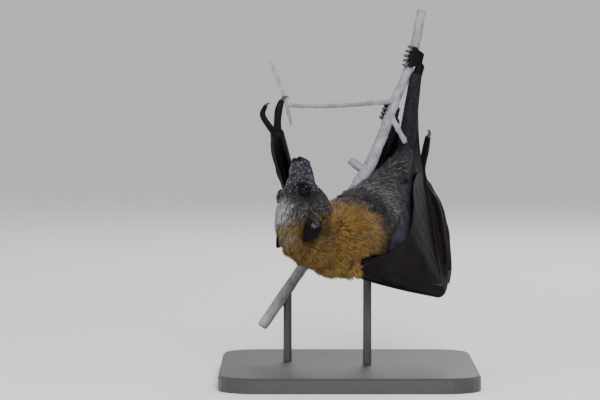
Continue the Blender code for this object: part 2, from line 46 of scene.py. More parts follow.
SKIN_FACES = 100000         # triangles left on the fused skin
MEMBRANE_THICK = 0.9
EYE_RADIUS = 5.6
SOCKET_REACH = 2.5          # how far past the eyeball the skin is drawn to it
PATCH = 0.003               # size of one tuft's patch on the bake map
SIDES = {"left": -1, "right": 1}        # the way that each side lies from the middle


# ---- small tools -------------------------------------------------------------------------
def unit(vectors):
    """Vectors scaled to length one, along the last axis."""
    vectors = np.asarray(vectors, float)
    size = np.linalg.norm(vectors, axis=-1, keepdims=True)
    return vectors / np.maximum(size, 1e-9)


def ease(value, low, high):
    """Smooth step from 0 at low to 1 at high."""
    share = np.clip((np.asarray(value, float) - low) / (high - low), 0, 1)
    return share * share * (3 - 2 * share)


def mix(first, second, share):
    """Values part of the way from the first to the second."""
    return first + (np.asarray(second) - first) * share


def over(base, colour, share):
    """Colours with another colour laid over them, by a share for each."""
    return mix(base, colour, np.asarray(share)[:, None])


def gap_to(place, points):
    """Distance of points from a place."""
    return np.linalg.norm(points - place, axis=1)


def gap_to_line(start, end, points):
    """Share along a straight line, offset from it and distance from it of points."""
    run = end - start
    share = np.clip((points - start) @ run / (run @ run), 0, 1)
    offset = points - start - share[:, None] * run
    return share, offset, np.linalg.norm(offset, axis=1)


def ripple(points, length, seed, waves=6):
    """Soft noise between about -1 and 1, made of sine waves of roughly that length."""
    draw = np.random.default_rng(seed)
    total = np.zeros(len(points))
    for _ in range(waves):
        way = unit(draw.normal(size=3)) * 2 * math.pi / (length * draw.uniform(0.7, 1.5))
        total += np.sin(points @ way + draw.uniform(0, 2 * math.pi))
    return total / math.sqrt(waves)


def smoothed(rows, steps):
    """Catmull-Rom rows through rows of numbers, with `steps` spans between two of them."""
    rows = np.asarray(rows, float)
    ends = np.vstack([2 * rows[0] - rows[1], rows, 2 * rows[-1] - rows[-2]])
    t = np.arange(steps)[:, None] / steps
    spans = []
    for a, b, c, d in zip(ends, ends[1:], ends[2:], ends[3:]):
        spans.append(0.5 * (2 * b + (c - a) * t + (2 * a - 5 * b + 4 * c - d) * t ** 2
                            + (3 * b - a - 3 * c + d) * t ** 3))
    return np.vstack(spans + [rows[-1:]])


CAP_ANGLES = (0.5, 0.95, 1.3)       # where the rings of a round tip lie, in radians
CAP_BULGE = 0.8                     # a tip's height for the half width that it closes


def loft(rows, way, sides=24, steps=4, round_tips=True, section=None):
    """Closed tube through (x, y, z, half width along `way`, half depth across it).

    `section(angle, share)` scales the radius round and along the tube.
    """
    rows = smoothed(rows, steps)
    middle, size = rows[:, :3], rows[:, 3:5]
    along = unit(np.gradient(middle, axis=0))
    for end, sign in ((0, -1), (-1, 1)) if round_tips else ():
        angles = np.array(CAP_ANGLES[::sign])[:, None]
        bulge = CAP_BULGE * size[end].min()
        cap = middle[end] + sign * along[end] * bulge * np.sin(angles)
        close = size[end] * np.cos(angles)
        turn = np.repeat(along[end][None], 3, axis=0)
        middle = np.vstack([middle, cap][::sign])
        size = np.vstack([size, close][::sign])
        along = np.vstack([along, turn][::sign])
    across = unit(way - along * (along @ np.asarray(way, float))[:, None])
    normal = np.cross(along, across)
    angle = np.arange(sides) * 2 * math.pi / sides
    scale = np.ones((len(middle), sides))
    if section:
        scale = section(angle[None, :], np.linspace(0, 1, len(middle))[:, None])
    points = (middle[:, None]
              + across[:, None] * (size[:, :1] * np.cos(angle) * scale)[..., None]
              + normal[:, None] * (size[:, 1:] * np.sin(angle) * scale)[..., None])
    faces = []
    for i in range(len(middle) - 1):
        for k in range(sides):
            n = (k + 1) % sides
            a, b = i * sides, (i + 1) * sides
            faces.append((a + k, a + n, b + n, b + k))
    last = (len(middle) - 1) * sides
    faces.append(tuple(range(sides))[::-1])
    faces.append(tuple(range(last, last + sides)))
    return points.reshape(-1, 3), faces


def tube(points, radii, sides=12, steps=4):
    """Round loft through points with a radius at each."""
    points = np.asarray(points, float)
    rows = [(*point, radius, radius) for point, radius in zip(points, radii)]
    run = unit(points[-1] - points[0])
    way = np.cross((0, 0, 1), run)
    if np.linalg.norm(way) < 0.2:
        way = np.cross((1, 0, 0), run)
    return loft(rows, unit(way), sides, steps)


def ball(middle, radii, axes, rings=10, sides=16):
    """Ellipsoid with its own axes."""
    local, faces = [(0, 0, 1)], []
    for i in range(1, rings):
        polar = math.pi * i / rings
        for k in range(sides):
            turn = 2 * math.pi * k / sides
            local.append((math.sin(polar) * math.cos(turn), math.sin(polar) * math.sin(turn),
                          math.cos(polar)))
    local.append((0, 0, -1))
    last = len(local) - 1
    for k in range(sides):
        n = (k + 1) % sides
        faces.append((0, 1 + k, 1 + n))
        for i in range(rings - 2):
            a, b = 1 + i * sides, 1 + (i + 1) * sides
            faces.append((a + k, b + k, b + n, a + n))
        faces.append((last - sides + k, last, last - sides + n))
    return np.asarray(middle) + (np.array(local) * radii) @ np.array(axes), faces


def outward(shape):
    """The same closed shape, with its faces turned outwards."""
    points, faces = shape
    corners = np.array([(face[0], face[k], face[k + 1])
                        for face in faces for k in range(1, len(face) - 1)])
    a, b, c = (points[corners[:, k]] - points.mean(0) for k in range(3))
    if (a * np.cross(b, c)).sum() < 0:
        faces = [face[::-1] for face in faces]
    return points, faces


def merged(shapes):
    """Several (points, faces) shapes as one."""
    points, faces, start = [], [], 0
    for some, more in map(outward, shapes):
        points.append(some)
        faces += [tuple(corner + start for corner in face) for face in more]
        start += len(some)
    return np.vstack(points), faces


def make_object(name, shape):
    """A mesh object, in metres, from points in millimetres and faces."""
    points, faces = shape
    mesh = bpy.data.meshes.new(name)
    mesh.from_pydata((np.asarray(points) * MM).tolist(), [], faces)
    mesh.update()
    thing = bpy.data.objects.new(name, mesh)
    bpy.context.scene.collection.objects.link(thing)
    return thing


def apply_modifiers(thing):
    """Turn an object's modifiers into its mesh."""
    bpy.context.view_layer.update()
    graph = bpy.context.evaluated_depsgraph_get()
    mesh = bpy.data.meshes.new_from_object(thing.evaluated_get(graph))
    thing.modifiers.clear()
    old, thing.data = thing.data, mesh
    mesh.name = thing.name
    bpy.data.meshes.remove(old)


def get_points(mesh, normals=False):
    """A mesh's points in millimetres, or its vertex normals."""
    values = np.zeros(len(mesh.vertices) * 3, np.float32)
    if normals:
        mesh.vertex_normals.foreach_get("vector", values)
        return values.reshape(-1, 3).astype(float)
    mesh.vertices.foreach_get("co", values)
    return values.reshape(-1, 3).astype(float) / MM


def set_points(mesh, points):
    mesh.vertices.foreach_set("co", (points * MM).astype(np.float32).ravel())
    mesh.update()


def paint(mesh, name, values):
    """A colour, or a grey value, at every point of a mesh."""
    values = np.asarray(values, float)
    if values.ndim == 1:
        layer = mesh.attributes.new(name, "FLOAT", "POINT")
        layer.data.foreach_set("value", values.astype(np.float32))
        return
    layer = mesh.attributes.new(name, "FLOAT_COLOR", "POINT")
    colours = np.ones((len(values), 4), np.float32)
    colours[:, :3] = np.clip(values, 0, 1)
    layer.data.foreach_set("color", colours.ravel())


# ---- the skeleton: joint places and radii out to the coat's tips --------------------------
HEAD_AT = np.array((-50.0, -90.0, 144.0))
HEAD_FORWARD = unit((-0.10, 0.188, 0.976))
HEAD_RIGHT = unit((0.68, -0.70, 0.205))
HEAD_CROWN = np.cross(HEAD_RIGHT, HEAD_FORWARD)
BODY_RIGHT = unit((0.769, -0.606, 0.195))
HEAD_AXES = (HEAD_FORWARD, HEAD_RIGHT, HEAD_CROWN)

# forward, crown-ward middle, half width, half height, depth of the coat
HEAD_STATIONS = (
    (-13, -3.0, 18.0, 17.0, 7.0),
    (0, -5.0, 22.5, 21.5, 6.5),
    (12, -6.0, 24.0, 23.5, 5.5),
    (24, -8.0, 22.0, 22.0, 4.0),
    (34, -11.0, 17.6, 19.0, 2.2),
    (42, -13.5, 14.0, 15.2, 1.2),
    (50, -15.0, 11.8, 12.2, 0.8),
    (58, -15.6, 10.2, 10.4, 0.6),
    (63, -16.0, 8.6, 8.6, 0.4),
)
# the ruff between jaw and chest: forward, outward, crown-ward, radius
THROAT = ((44, 4, -17, 12), (36, 5, -20, 15), (27, 6, -24, 16.5), (14, 6, -24, 19),
          (1, 5, -19, 21))
THROAT_COAT = 6.0
EYE_PLACE = (36.0, 11.4, -4.8)       # forward, outward, crown-ward
EYE_LOOK = (0.34, 0.86, 0.38)
EAR_ROOT = {"right": (8.0, 19.5, -10.0), "left": (7.0, 14.0, -2.0)}
EAR_REACH = {"right": (-10, -17, -20), "left": (-5, 13, -18)}
EAR_WIDTH_WAY = {"right": (0.86, -0.06, -0.50), "left": (-0.75, 0.35, 0.45)}

TRUNK_STATIONS = (
    ((44, 54, 193), 12.5, 12),
    ((38, 42, 185), 16, 16),
    ((30, 17, 171), 23, 24),
    ((16, -12, 153), 34, 33),
    ((-1, -43, 137), 39, 36),
    ((-14, -60, 133), 37, 35),
)
NECK_STATIONS = (
    ((-10, -56, 134), 34, 33),
    ((-24, -71, 131), 27, 25),
    ((-36, -81, 131), 24, 23),
    ((-43, -85, 137), 20, 20),
)
TRUNK_COAT = 6.5
NECK_COAT = 9.0
# limbs: place, radius, depth of the coat
ARM = {
    "right": (((-5, -56, 122), 17, 6), ((13, -68, 109), 12, 2), ((49, -33, 94), 8.5, 0.5),
              ((86, 7, 82), 7.0, 0.3)),
    "left": (((-10, -30, 132), 20, 8), ((-28, -22, 128), 15, 4), ((-40, 26, 131), 9.5, 0.5),
             ((-46, 80, 137), 7.5, 0.3)),
}
FOREARM = {
    "right": (((86, 7, 82), 7.0, 0.3), ((86, 30, 99), 6.2, 0.3), ((83, 66, 128), 5.4, 0.3),
              ((76, 120, 177), 6.4, 0.3)),
    "left": (((-46, 80, 137), 7.5, 0.3), ((-49, 47, 162), 6.2, 0.3),
             ((-55, 10, 192), 5.4, 0.3), ((-66, -49, 232), 6.6, 0.3)),
}
THIGH = {
    "right": (((42, 46, 187), 14, 5), ((47, 56, 194), 12.5, 4), ((54, 72, 205), 10.5, 2),
              ((57, 86, 213), 8.8, 1.2)),
    "left": (((39, 50, 184), 14, 5), ((35, 72, 180), 12.5, 3.5), ((31, 94, 181), 10.5, 2),
             ((28, 112, 188), 8.6, 1.2)),
}
SHANK = {
    "right": (((57, 86, 213), 8.8, 1.2), ((59, 81, 230), 8.3, 0.8), ((62, 74, 254), 7.2, 0.6),
              ((65.5, 67, 281), 6.0, 0.4)),
    "left": (((28, 112, 188), 8.6, 1.2), ((31, 103, 203), 7.5, 0.8), ((38, 83, 220), 6.3, 0.6),
             ((45, 66, 236), 5.6, 0.4)),
}
HAND = {
    "right": (((77, 120, 176), 7, 7), ((85, 104, 157), 7.5, 9), ((90, 76, 129), 8, 12),
              ((92, 46, 104), 7.5, 12), ((89, 20, 84), 6, 8)),
    "left": (((-67, -47, 231), 6.5, 6.5), ((-66, -34, 219), 6, 8), ((-60, -6, 197), 6, 10),
             ((-54, 22, 175), 6, 10), ((-51, 48, 155), 5, 8)),
}
THUMB = {
    "right": ((76, 120, 178), (74, 118, 192), (77, 108, 211), (79, 101, 224)),
    "left": ((-66, -49, 232), (-66, -53, 243), (-65, -55.5, 254), (-62.5, -54, 262)),
}
THUMB_CLAW = {
    "right": ((79, 102, 222), (80.5, 97.5, 228), (79.5, 93, 231), (77.5, 90, 231)),
    "left": ((-63, -54.5, 260), (-60.5, -52.5, 265.5), (-57.5, -48.5, 267), (-55.5, -45, 264.5)),
}
INDEX = ((-67, -48, 231), (-75, -44, 241), (-80, -42, 250), (-77, -46, 258))

BRANCH = ((72, 82, 347), (62, 74, 299), (44, 62, 255), (32, 54, 223), (18, 44, 193),
          (-7, 36, 155), (-45, 24, 100), (-81, 10, 48))
BRANCH_RADII = (4.3, 4.5, 4.8, 5.0, 6.0, 5.6, 5.2, 5.0)
STUB = ((42, 58, 245), (50, 50, 231), (55, 44, 221))
SIDE_SHOOT = ((19, 45, 195), (11, 47, 198), (3, 50, 204))
TWIG = ((45, 63, 260), (14, 34, 258), (-22, -8, 257), (-58, -41, 258.5))
HOOK_TWIG = ((-73, -36, 299), (-65, -41, 280), (-58.5, -44, 262), (-53, -42, 240))
TOE_RADII = (2.0, 1.8, 1.5, 1.6, 1.4)
TOE_STAGGER = (-6, 3, 7, 2, -9)     # how far each toe reaches round, per cent
CLAW_START = 4              # the toe's point where its claw begins


def head_point(forward, outward, crown, side=1):
    """A place given along the head's own axes; side is 1 for right and -1 for left."""
    return (HEAD_AT + HEAD_FORWARD * forward + HEAD_RIGHT * outward * side
            + HEAD_CROWN * crown)


def head_way(forward, outward, crown, side=1):
    """A direction given along the head's own axes."""
    return unit(HEAD_FORWARD * forward + HEAD_RIGHT * outward * side + HEAD_CROWN * crown)


def head_measures(points):
    """Forward, rightward and crown-ward distance of points from the head's middle."""
    local = points - HEAD_AT
    return local @ HEAD_FORWARD, local @ HEAD_RIGHT, local @ HEAD_CROWN


def branch_frame(height):
    """The branch's middle and direction at a height."""
    rows = smoothed(BRANCH, 8)
    for low, high in zip(rows[1:], rows):
        if low[2] <= height <= high[2]:
            return low + (high - low) * (height - low[2]) / (high[2] - low[2]), unit(high - low)
    raise ValueError("no branch at that height")


# a toe's way round the branch: degrees round it, and how far off it lies
TOE_WAY = ((12, 1.4), (50, 0.6), (88, 0.1), (118, 0.3), (146, 0.5), (172, 0), (192, -0.5))
TOE_SPREAD = 1.8            # from toe to toe where they leave the sole


def foot_rows(ankle, grip_height, way, turn, radius, spacing):
    """Sole from the ankle to the toes, and five toes round the branch."""
    middle, up = branch_frame(grip_height)
    way = np.asarray(way, float)
    outward = unit(way - up * (up @ way))
    front = np.cross(up, outward) * -turn
    orbit = radius + max(TOE_RADII) + 0.6
    toes = []
    for k, stagger in enumerate(TOE_STAGGER):

        def at(degrees, reach):
            angle = math.radians(degrees * (1 + 0.01 * stagger))
            lift = up * (k - 2) * spacing * (0.52 + 0.48 * min(1.0, degrees / 120))
            return middle + lift + (outward * math.cos(angle) + front * math.sin(angle)) * reach

        root = (middle + up * (k - 2) * TOE_SPREAD - up * 8 + outward * (orbit + 2.0)
                + front * 0.5)
        toes.append([root] + [at(degrees, orbit + off) for degrees, off in TOE_WAY])
    knuckle = middle - up * 6 + outward * (orbit + 2.6) + front * 0.5
    ankle = np.asarray(ankle, float)
    return {"sole": (ankle, ankle + (knuckle - ankle) * 0.55, knuckle), "toes": toes}


FEET = {
    "right": foot_rows((65.5, 67, 281), 301, (1, 0, 0), 1, 4.5, 4.6),
    "left": foot_rows((45, 66, 236), 250, (0.75, 0.66, 0), -1, 4.8, 4.2),
}


# ---- parts of the body, for the lie, length and colour of the coat ------------------------
def limb_part(table):
    """A limb's places and radii, without its coat's depth."""
    return [place for place, *_ in table], [radius for _, radius, _ in table]


def body_parts():
    """Axis line and radii of each part; every line runs the way that its hair lies."""
    head_line = [head_point(forward, 0, crown) for forward, crown, *_ in HEAD_STATIONS]
    parts = {
        "head": (head_line[::-1], [wide for _, _, wide, _, _ in HEAD_STATIONS][::-1]),
        "head_ruff": ([head_point(*place) for *place, _ in THROAT],
                      [radius for *_, radius in THROAT]),
        "neck": ([place for place, *_ in NECK_STATIONS[::-1]],
                 [wide for _, wide, _ in NECK_STATIONS[::-1]]),
        "trunk": ([place for place, *_ in TRUNK_STATIONS[::-1]],
                  [wide for _, wide, _ in TRUNK_STATIONS[::-1]]),
    }
    for side in SIDES:
        parts["arm_" + side] = limb_part(ARM[side][1:])
        parts["forearm_" + side] = limb_part(FOREARM[side])
        parts["thigh_" + side] = limb_part(THIGH[side][1:])
        parts["shank_" + side] = limb_part(SHANK[side])
        parts["foot_" + side] = (FEET[side]["sole"], (5.6, 5.2, 4.6))
        parts["hand_" + side] = ([place for place, *_ in HAND[side]],
                                 [wide for _, wide, _ in HAND[side]])
        parts["thumb_" + side] = (THUMB[side], (4.4, 4, 3.5, 3))
    return parts


PARTS = {name: (smoothed(np.column_stack([line, radii]), 3))
         for name, (line, radii) in body_parts().items()}
PART_NAMES = list(PARTS)
OFF_AXIS = (0.01, 0.02, 0.03)       # keeps the angle's zero from lying along a part


def locate(points):
    """For each point: its part's number, share along the part, hair direction, and angle."""
    count = len(points)
    best = np.full(count, np.inf)
    part, share, turn = np.zeros(count, int), np.zeros(count), np.zeros(count)
    along = np.zeros((count, 3))
    for number, name in enumerate(PART_NAMES):
        rows = PARTS[name]
        spans = len(rows) - 1
        for i in range(spans):
            start, end = rows[i], rows[i + 1]
            run = end[:3] - start[:3]
            t, offset, gap = gap_to_line(start[:3], end[:3], points)
            gap = gap - (start[3] + t * (end[3] - start[3]))
            closer = gap < best
            best[closer] = gap[closer]
            part[closer] = number
            share[closer] = (i + t[closer]) / spans
            along[closer] = unit(run)
            across = unit(np.cross(run, BODY_RIGHT + OFF_AXIS))
            other = np.cross(unit(run), across)
            angle = np.arctan2(offset @ other, offset @ across)
            turn[closer] = angle[closer]
    return part, share, along, turn


def is_part(part, *names):
    """Mask of the points whose part's name starts with one of these."""
    numbers = [i for i, name in enumerate(PART_NAMES) if name.startswith(names)]
    return np.isin(part, numbers)


# ---- colours of coat and skin, as light reflected in red, green and blue ------------------
GOLD_DEEP = np.array((0.050, 0.025, 0.007))
GOLD = np.array((0.150, 0.080, 0.013))
GOLD_PALE = np.array((0.38, 0.255, 0.075))
SLATE = np.array((0.029, 0.027, 0.032))
SLATE_DARK = np.array((0.011, 0.010, 0.012))
SILVER = np.array((0.42, 0.43, 0.45))
FROST = np.array((0.290, 0.280, 0.298))
MUZZLE_PALE = np.array((0.30, 0.29, 0.34))
STRAW = np.array((0.30, 0.28, 0.20))
CHEEK_BROWN = np.array((0.028, 0.025, 0.026))
MUZZLE_GREY = np.array((0.044, 0.041, 0.056))
STRAW_GREY = np.array((0.17, 0.15, 0.09))
WING_BLACK = np.array((0.0065, 0.0045, 0.006))
LEG_GREY = np.array((0.027, 0.024, 0.035))
# painted sheen: the lighter blue-grey laid on the web along the right flank
WEB_SHEEN_BLUE = np.array((0.055, 0.055, 0.072))
MANTLE_MIDDLE = np.array((-20.0, -62.0, 122.0))
MANTLE_RADIUS = 50.0
MANTLE_TOP = 162.0
MANTLE_STRETCH = 0.5        # its edge lies twice as far to the left and the front
FACE_END = 7.5              # where the face ends on the crown, forward of the head's middle
CHEEK_SLOPE = 0.37          # how much further forward it ends for each millimetre down
CROWN_TOP = 21


def beyond_mantle(points):
    """Distance outside the golden mantle; negative within it."""
    offset = points - MANTLE_MIDDLE
    # it runs on over nape and throat, to the left and the front
    level = offset[:, :2]
    offset[:, :2] = np.where(level < 0, level * MANTLE_STRETCH, level)
    beyond = np.linalg.norm(offset, axis=1) - MANTLE_RADIUS
    return np.maximum(beyond, points[:, 2] - MANTLE_TOP)


def beyond_face(points):
    """Distance behind the line where the grizzled face ends; negative on the face."""
    forward, right, crown = head_measures(points)
    down = CROWN_TOP - np.clip(crown, -40, CROWN_TOP)
    behind = np.maximum(FACE_END, 2 + CHEEK_SLOPE * down) - forward
    ear = gap_to(head_point(*EAR_ROOT["right"]), points)
    behind = behind - 7 * (1 - ease(ear, 6, 14))
    return np.maximum(behind, np.hypot(right, crown + 10) - 40)


def body_tone(points, beyond):
    """Dark slate, blacker next to the mantle as a painted shade along its edge, straw-grey low
    on the flank.
    """
    tone = np.repeat(SLATE[None], len(points), axis=0)
    # painted shade: the slate is darkened along the mantle's edge
    tone = over(tone, SLATE_DARK, (1 - ease(beyond, 8, 26)) * 0.85)
    low = 1 - ease(points[:, 2], 135, 165)
    return over(tone, STRAW_GREY, low * ease(beyond, 3, 12) * 0.5)


def mantle_tone(points):
    """Golden, browner in the middle, with a painted shadow under the ear, paler on the lower
    lobes.
    """
    gold = np.repeat(GOLD[None], len(points), axis=0)
    gold = over(gold, GOLD_DEEP, ease(ripple(points, 20, 8), -0.2, 1.4) * 0.55)
    gold = over(gold, GOLD_PALE, (1 - ease(points[:, 2], 98, 122)) * 0.5)
    # painted shadow: the gold is darkened below the right ear
    ear = gap_to(head_point(-1, 20, -12), points)
    return over(gold, GOLD_DEEP * 0.6, (1 - ease(ear, 11, 22)) * 0.8)


def face_tone(points, blur):
    """Grizzled brown-grey cheeks, silver crown, slate muzzle, dark round the eyes."""
    forward, right, crown = head_measures(points)
    face = np.repeat(CHEEK_BROWN[None], len(points), axis=0)
    face = over(face, MUZZLE_GREY, ease(forward, 36, 46))
    silver = ease(crown, -2, 12) * ease(forward, 6, 12) * (1 - ease(forward, 24, 36))
    silver *= 1 - ease(np.abs(right + 4) + blur * 0.8, 4, 15)
    face = over(face, SILVER, silver * 0.85)
    for sign in SIDES.values():
        eye = np.sqrt(((forward - EYE_PLACE[0]) * 1.35) ** 2
                      + ((right - sign * EYE_PLACE[1]) * 0.85) ** 2
                      + ((crown - EYE_PLACE[2]) * 0.85) ** 2)
        face = over(face, SLATE_DARK, (1 - ease(eye + blur * 0.5, 8, 13)) * 0.95)
        # painted shade: the nostril pits are painted near black, darker than the nose's own skin
        pit = gap_to(head_point(*NOSTRIL, sign), points)
        face = over(face, SLATE_DARK * 0.3, 1 - ease(pit, 1.8, 3.2))
    return face


def markings(points, part):
    """The coat's colour at each point, the same for skin and hair."""
    blur = ripple(points, 14, 3) * 2.0 + ripple(points, 5, 4) * 1.5
    beyond = beyond_mantle(points) + blur
    tone = over(mantle_tone(points), body_tone(points, beyond), ease(beyond, -2.5, 2.5))
    behind = beyond_face(points) + blur * 0.9
    tone = over(face_tone(points, blur), tone, ease(behind, -4, 3))
    # the nape between the ears is a pale buff
    nape = gap_to(head_point(1, -2, 15), points)
    tone = over(tone, STRAW * 0.8, (1 - ease(nape, 8, 18)) * ease(behind, -3, 3) * 0.5)
    limbs = is_part(part, "thigh", "shank")
    tone[limbs] = mix(tone[limbs], LEG_GREY, 0.75)
    rump = is_part(part, "trunk") * ease(points[:, 2], 176, 200)
    tone = over(tone, SLATE_DARK * 1.5, rump * 0.6)
    return over(tone, WING_BLACK, bareness(points, part))


ARM_BARE = {"right": (0.0, 0.06), "left": (0.16, 0.24)}     # where the arm's hair ends


def bareness(points, part):
    """1 on naked skin and 0 where hair grows."""
    bare = ease(points[:, 0], 8, 11) * (points[:, 2] < 119) * (points[:, 1] < 10)
    bare[is_part(part, "forearm", "hand", "thumb", "foot")] = 1
    for side in SIDES:
        mask = part == PART_NAMES.index("arm_" + side)
        shoulder, elbow = np.array(ARM[side][1][0]), np.array(ARM[side][3][0])
        run = elbow - shoulder
        share = (points[mask] - shoulder) @ run / (run @ run)
        bald = ease(share + ripple(points[mask], 8, 5) * 0.03, *ARM_BARE[side])
        bare[mask] = np.maximum(bare[mask], bald)
    forward, right, crown = head_measures(points)
    nose = ease(forward, 65.0, 67.5) * (1 - ease(np.abs(right), 9, 12))
    nose *= 1 - ease(np.abs(crown + 15), 12, 18)
    return np.maximum(bare, nose)


# ---- skin --------------------------------------------------------------------------------
def coated_rows(table):
    """A limb's rows without the depth of its coat."""
    return [(*place, radius - coat, radius - coat) for place, radius, coat in table]


def head_shapes():
    """Skull and muzzle with brows, cheeks, lips, chin and nose."""
    rows = [(*head_point(forward, 0, crown), wide - coat, high - coat)
            for forward, crown, wide, high, coat in HEAD_STATIONS]
    shapes = [loft(rows, HEAD_RIGHT, sides=48, steps=6)]
    lumps = (
        ((33, 9.0, 3.2), (8, 4.6, 3.4)),        # brow ridge
        ((19, 12.5, -15), (12, 5.5, 9)),        # cheek muscle
        ((55, 6.2, -14), (10.5, 5.0, 5.6)),     # upper lip
        ((44, 8.0, -10.5), (9, 5.2, 5.2)),      # side of the muzzle
        ((66.8, 3.7, -12.4), (3.2, 3.0, 3.1)),  # nostril rim
    )
    middle_lumps = (
        ((54, 0, -22), (12, 6.4, 4.4)),         # chin
        ((66, 0, -13.5), (3.0, 5.0, 4.4)),      # nose
    )
    for place, radii in lumps:
        for sign in SIDES.values():
            shapes.append(ball(head_point(*place, sign), radii, HEAD_AXES))
    for place, radii in middle_lumps:
        shapes.append(ball(head_point(*place), radii, HEAD_AXES))
    ruff = [(*head_point(*place), radius - THROAT_COAT, radius - THROAT_COAT)
            for *place, radius in THROAT]
    shapes.append(loft(ruff, HEAD_RIGHT, sides=32, steps=5))
    return shapes


def pleats(count, depth):
    """Cross-section with rounded folds that run along the piece."""
    def section(angle, share):
        fade = np.sin(np.pi * np.clip(share * 1.1, 0, 1)) ** 0.5
        return 1 + depth * fade * np.cos(count * angle + 1.5 * share)
    return section


HAND_ACROSS = (1, 0, 0.1)       # the way that a folded hand is measured across
FINGER_FAN = 62                 # degrees that the outer fingers lie off its middle


def finger_lines(side, count=4):
    """Finger bones that run down the outer side of the folded hand."""
    rows = smoothed([(*place, wide, deep) for place, wide, deep in HAND[side]], 3)
    middle = rows[:, :3]
    along = unit(np.gradient(middle, axis=0))
    across = unit(np.array(HAND_ACROSS) - along * (along @ np.array(HAND_ACROSS))[:, None])
    normal = np.cross(along, across)
    lines = []
    for k in range(count):
        angle = math.radians(-FINGER_FAN + 2 * FINGER_FAN * k / (count - 1))
        spread = ease(np.linspace(0, 1, len(rows)), 0, 0.35)[:, None]
        offset = (across * rows[:, 3:4] * math.cos(angle) * SIDES[side]
                  + normal * rows[:, 4:5] * math.sin(angle))
        stop = len(rows) - k % 3
        lines.append((middle + offset * (0.45 + 0.5 * spread))[:stop])
    return lines


def hand_shapes(side):
    """Folded hand with its finger bones, their knuckles, and the thumb."""
    rows = [(*place, wide * 0.9, deep * 0.92) for place, wide, deep in HAND[side]]
    shapes = [loft(rows, HAND_ACROSS, sides=72, steps=8, section=pleats(9, 0.07))]
    for k, line in enumerate(finger_lines(side)):
        knuckle = 0.35 + 0.12 * k
        share = np.linspace(0, 1, len(line))
        swelling = np.exp(-((share - knuckle) / 0.05) ** 2)
        radii = 2.3 - 1.1 * share + 0.9 * swelling
        shapes.append(tube(line, radii, steps=2))
    shapes.append(tube(THUMB[side], (4.4, 3.5, 3.7, 2.9), sides=16))
    return shapes


def foot_shapes(side):
    """Sole and five toes with two knuckles each."""
    foot = FEET[side]
    shapes = [tube(foot["sole"], (5.4, 4.8, 4.4), sides=16)]
    for toe in foot["toes"]:
        shapes.append(tube(toe[:CLAW_START + 1], TOE_RADII, sides=12))
        for knuckle in (1, 3):
            shapes.append(ball(toe[knuckle], (2.5,) * 3, np.eye(3), rings=8, sides=10))
    return shapes


LIMB_ACROSS = (0.2, 0.1, 1)


def fused_skin():
    """All the flesh as one closed skin that lies under the coat."""
    shapes = head_shapes()
    for stations, coat in ((TRUNK_STATIONS, TRUNK_COAT), (NECK_STATIONS, NECK_COAT)):
        rows = [(*place, wide - coat, deep - coat) for place, wide, deep in stations]
        shapes.append(loft(rows, BODY_RIGHT, sides=40, steps=5))
    for side in SIDES:
        for table in (ARM, FOREARM, THIGH, SHANK):
            shapes.append(loft(coated_rows(table[side]), LIMB_ACROSS, sides=24, steps=5))
        shapes += hand_shapes(side) + foot_shapes(side)
    shapes.append(tube(INDEX, (3.6, 3.0, 2.8, 2.0), sides=14))
    thing = make_object("bat_skin", merged(shapes))
    fuse = thing.modifiers.new("fuse", "REMESH")
    fuse.mode = "VOXEL"
    fuse.voxel_size = SKIN_VOXEL * MM
    smooth = thing.modifiers.new("smooth", "SMOOTH")
    smooth.factor = 0.5
    smooth.iterations = 3
    apply_modifiers(thing)
    return thing


NOSTRIL = (66.6, 4.4, -8.8)
NOSTRIL_DEPTH, NOSTRIL_WIDTH = 3.2, 1.7
MOUTH_DEPTH, MOUTH_WIDTH = 1.1, 0.9
LIP_RISE, LIP_WIDTH, LIP_OFF = 0.5, 1.2, 2.2       # the lips swell beside the mouth's line
GROOVE_DEPTH, GROOVE_WIDTH = 0.9, 0.9              # between the nostrils
MOUTH_LINE = ((69.5, -18.5), (62, -19.0), (52, -19.8), (42, -18.6), (35, -15.0))


def eye_frame(sign):
    """An eye's middle, the way it looks, and the way square to that towards the nose."""
    look = head_way(*EYE_LOOK, sign)
    front = unit(HEAD_FORWARD - look * (look @ HEAD_FORWARD))
    return head_point(*EYE_PLACE, sign), look, front


def carve_face(points, normals):
    """Nostrils, the groove between them, the mouth's line and the sockets of the eyes."""
    forward, right, crown = head_measures(points)
    push = np.zeros(len(points))
    near = np.full(len(points), np.inf)
    flat = np.column_stack([forward, crown])
    mouth = np.array(MOUTH_LINE)
    for start, end in zip(mouth, mouth[1:]):
        near = np.minimum(near, gap_to_line(start, end, flat)[2])
    face = ease(-np.abs(right), -18, -14) * ease(forward, 30, 34)
    push -= MOUTH_DEPTH * np.exp(-(near / MOUTH_WIDTH) ** 2) * face
    push += LIP_RISE * np.exp(-((near - LIP_OFF) / LIP_WIDTH) ** 2) * face
    for sign in SIDES.values():
        pit = gap_to(head_point(*NOSTRIL, sign), points)
        push -= NOSTRIL_DEPTH * np.exp(-(pit / NOSTRIL_WIDTH) ** 2)
    groove = np.exp(-(right / GROOVE_WIDTH) ** 2) * ease(forward, 60, 66) * ease(-crown, 7, 9)
    push -= GROOVE_DEPTH * groove * (1 - ease(-crown, 19, 21))
    points = points + normals * push[:, None]
    for sign in SIDES.values():
        middle, look, _ = eye_frame(sign)
        offset = points - middle
        gap = np.linalg.norm(offset, axis=1)
        facing = offset @ look / np.maximum(gap, 1e-6)
        inside = gap < EYE_RADIUS + SOCKET_REACH
        # the skin clears the ball round its rim and goes under it where the ball shows
        wanted = mix(EYE_RADIUS + 0.7, EYE_RADIUS - 1.6, ease(facing, 0.3, 0.55))
        fade = 1 - ease(gap, EYE_RADIUS + SOCKET_REACH - 1, EYE_RADIUS + SOCKET_REACH)
        pull = ease(facing, -0.1, 0.25) * fade
        moved = middle + offset / gap[:, None] * mix(gap, wanted, pull)[:, None]
        points = np.where(inside[:, None], moved, points)
    return points


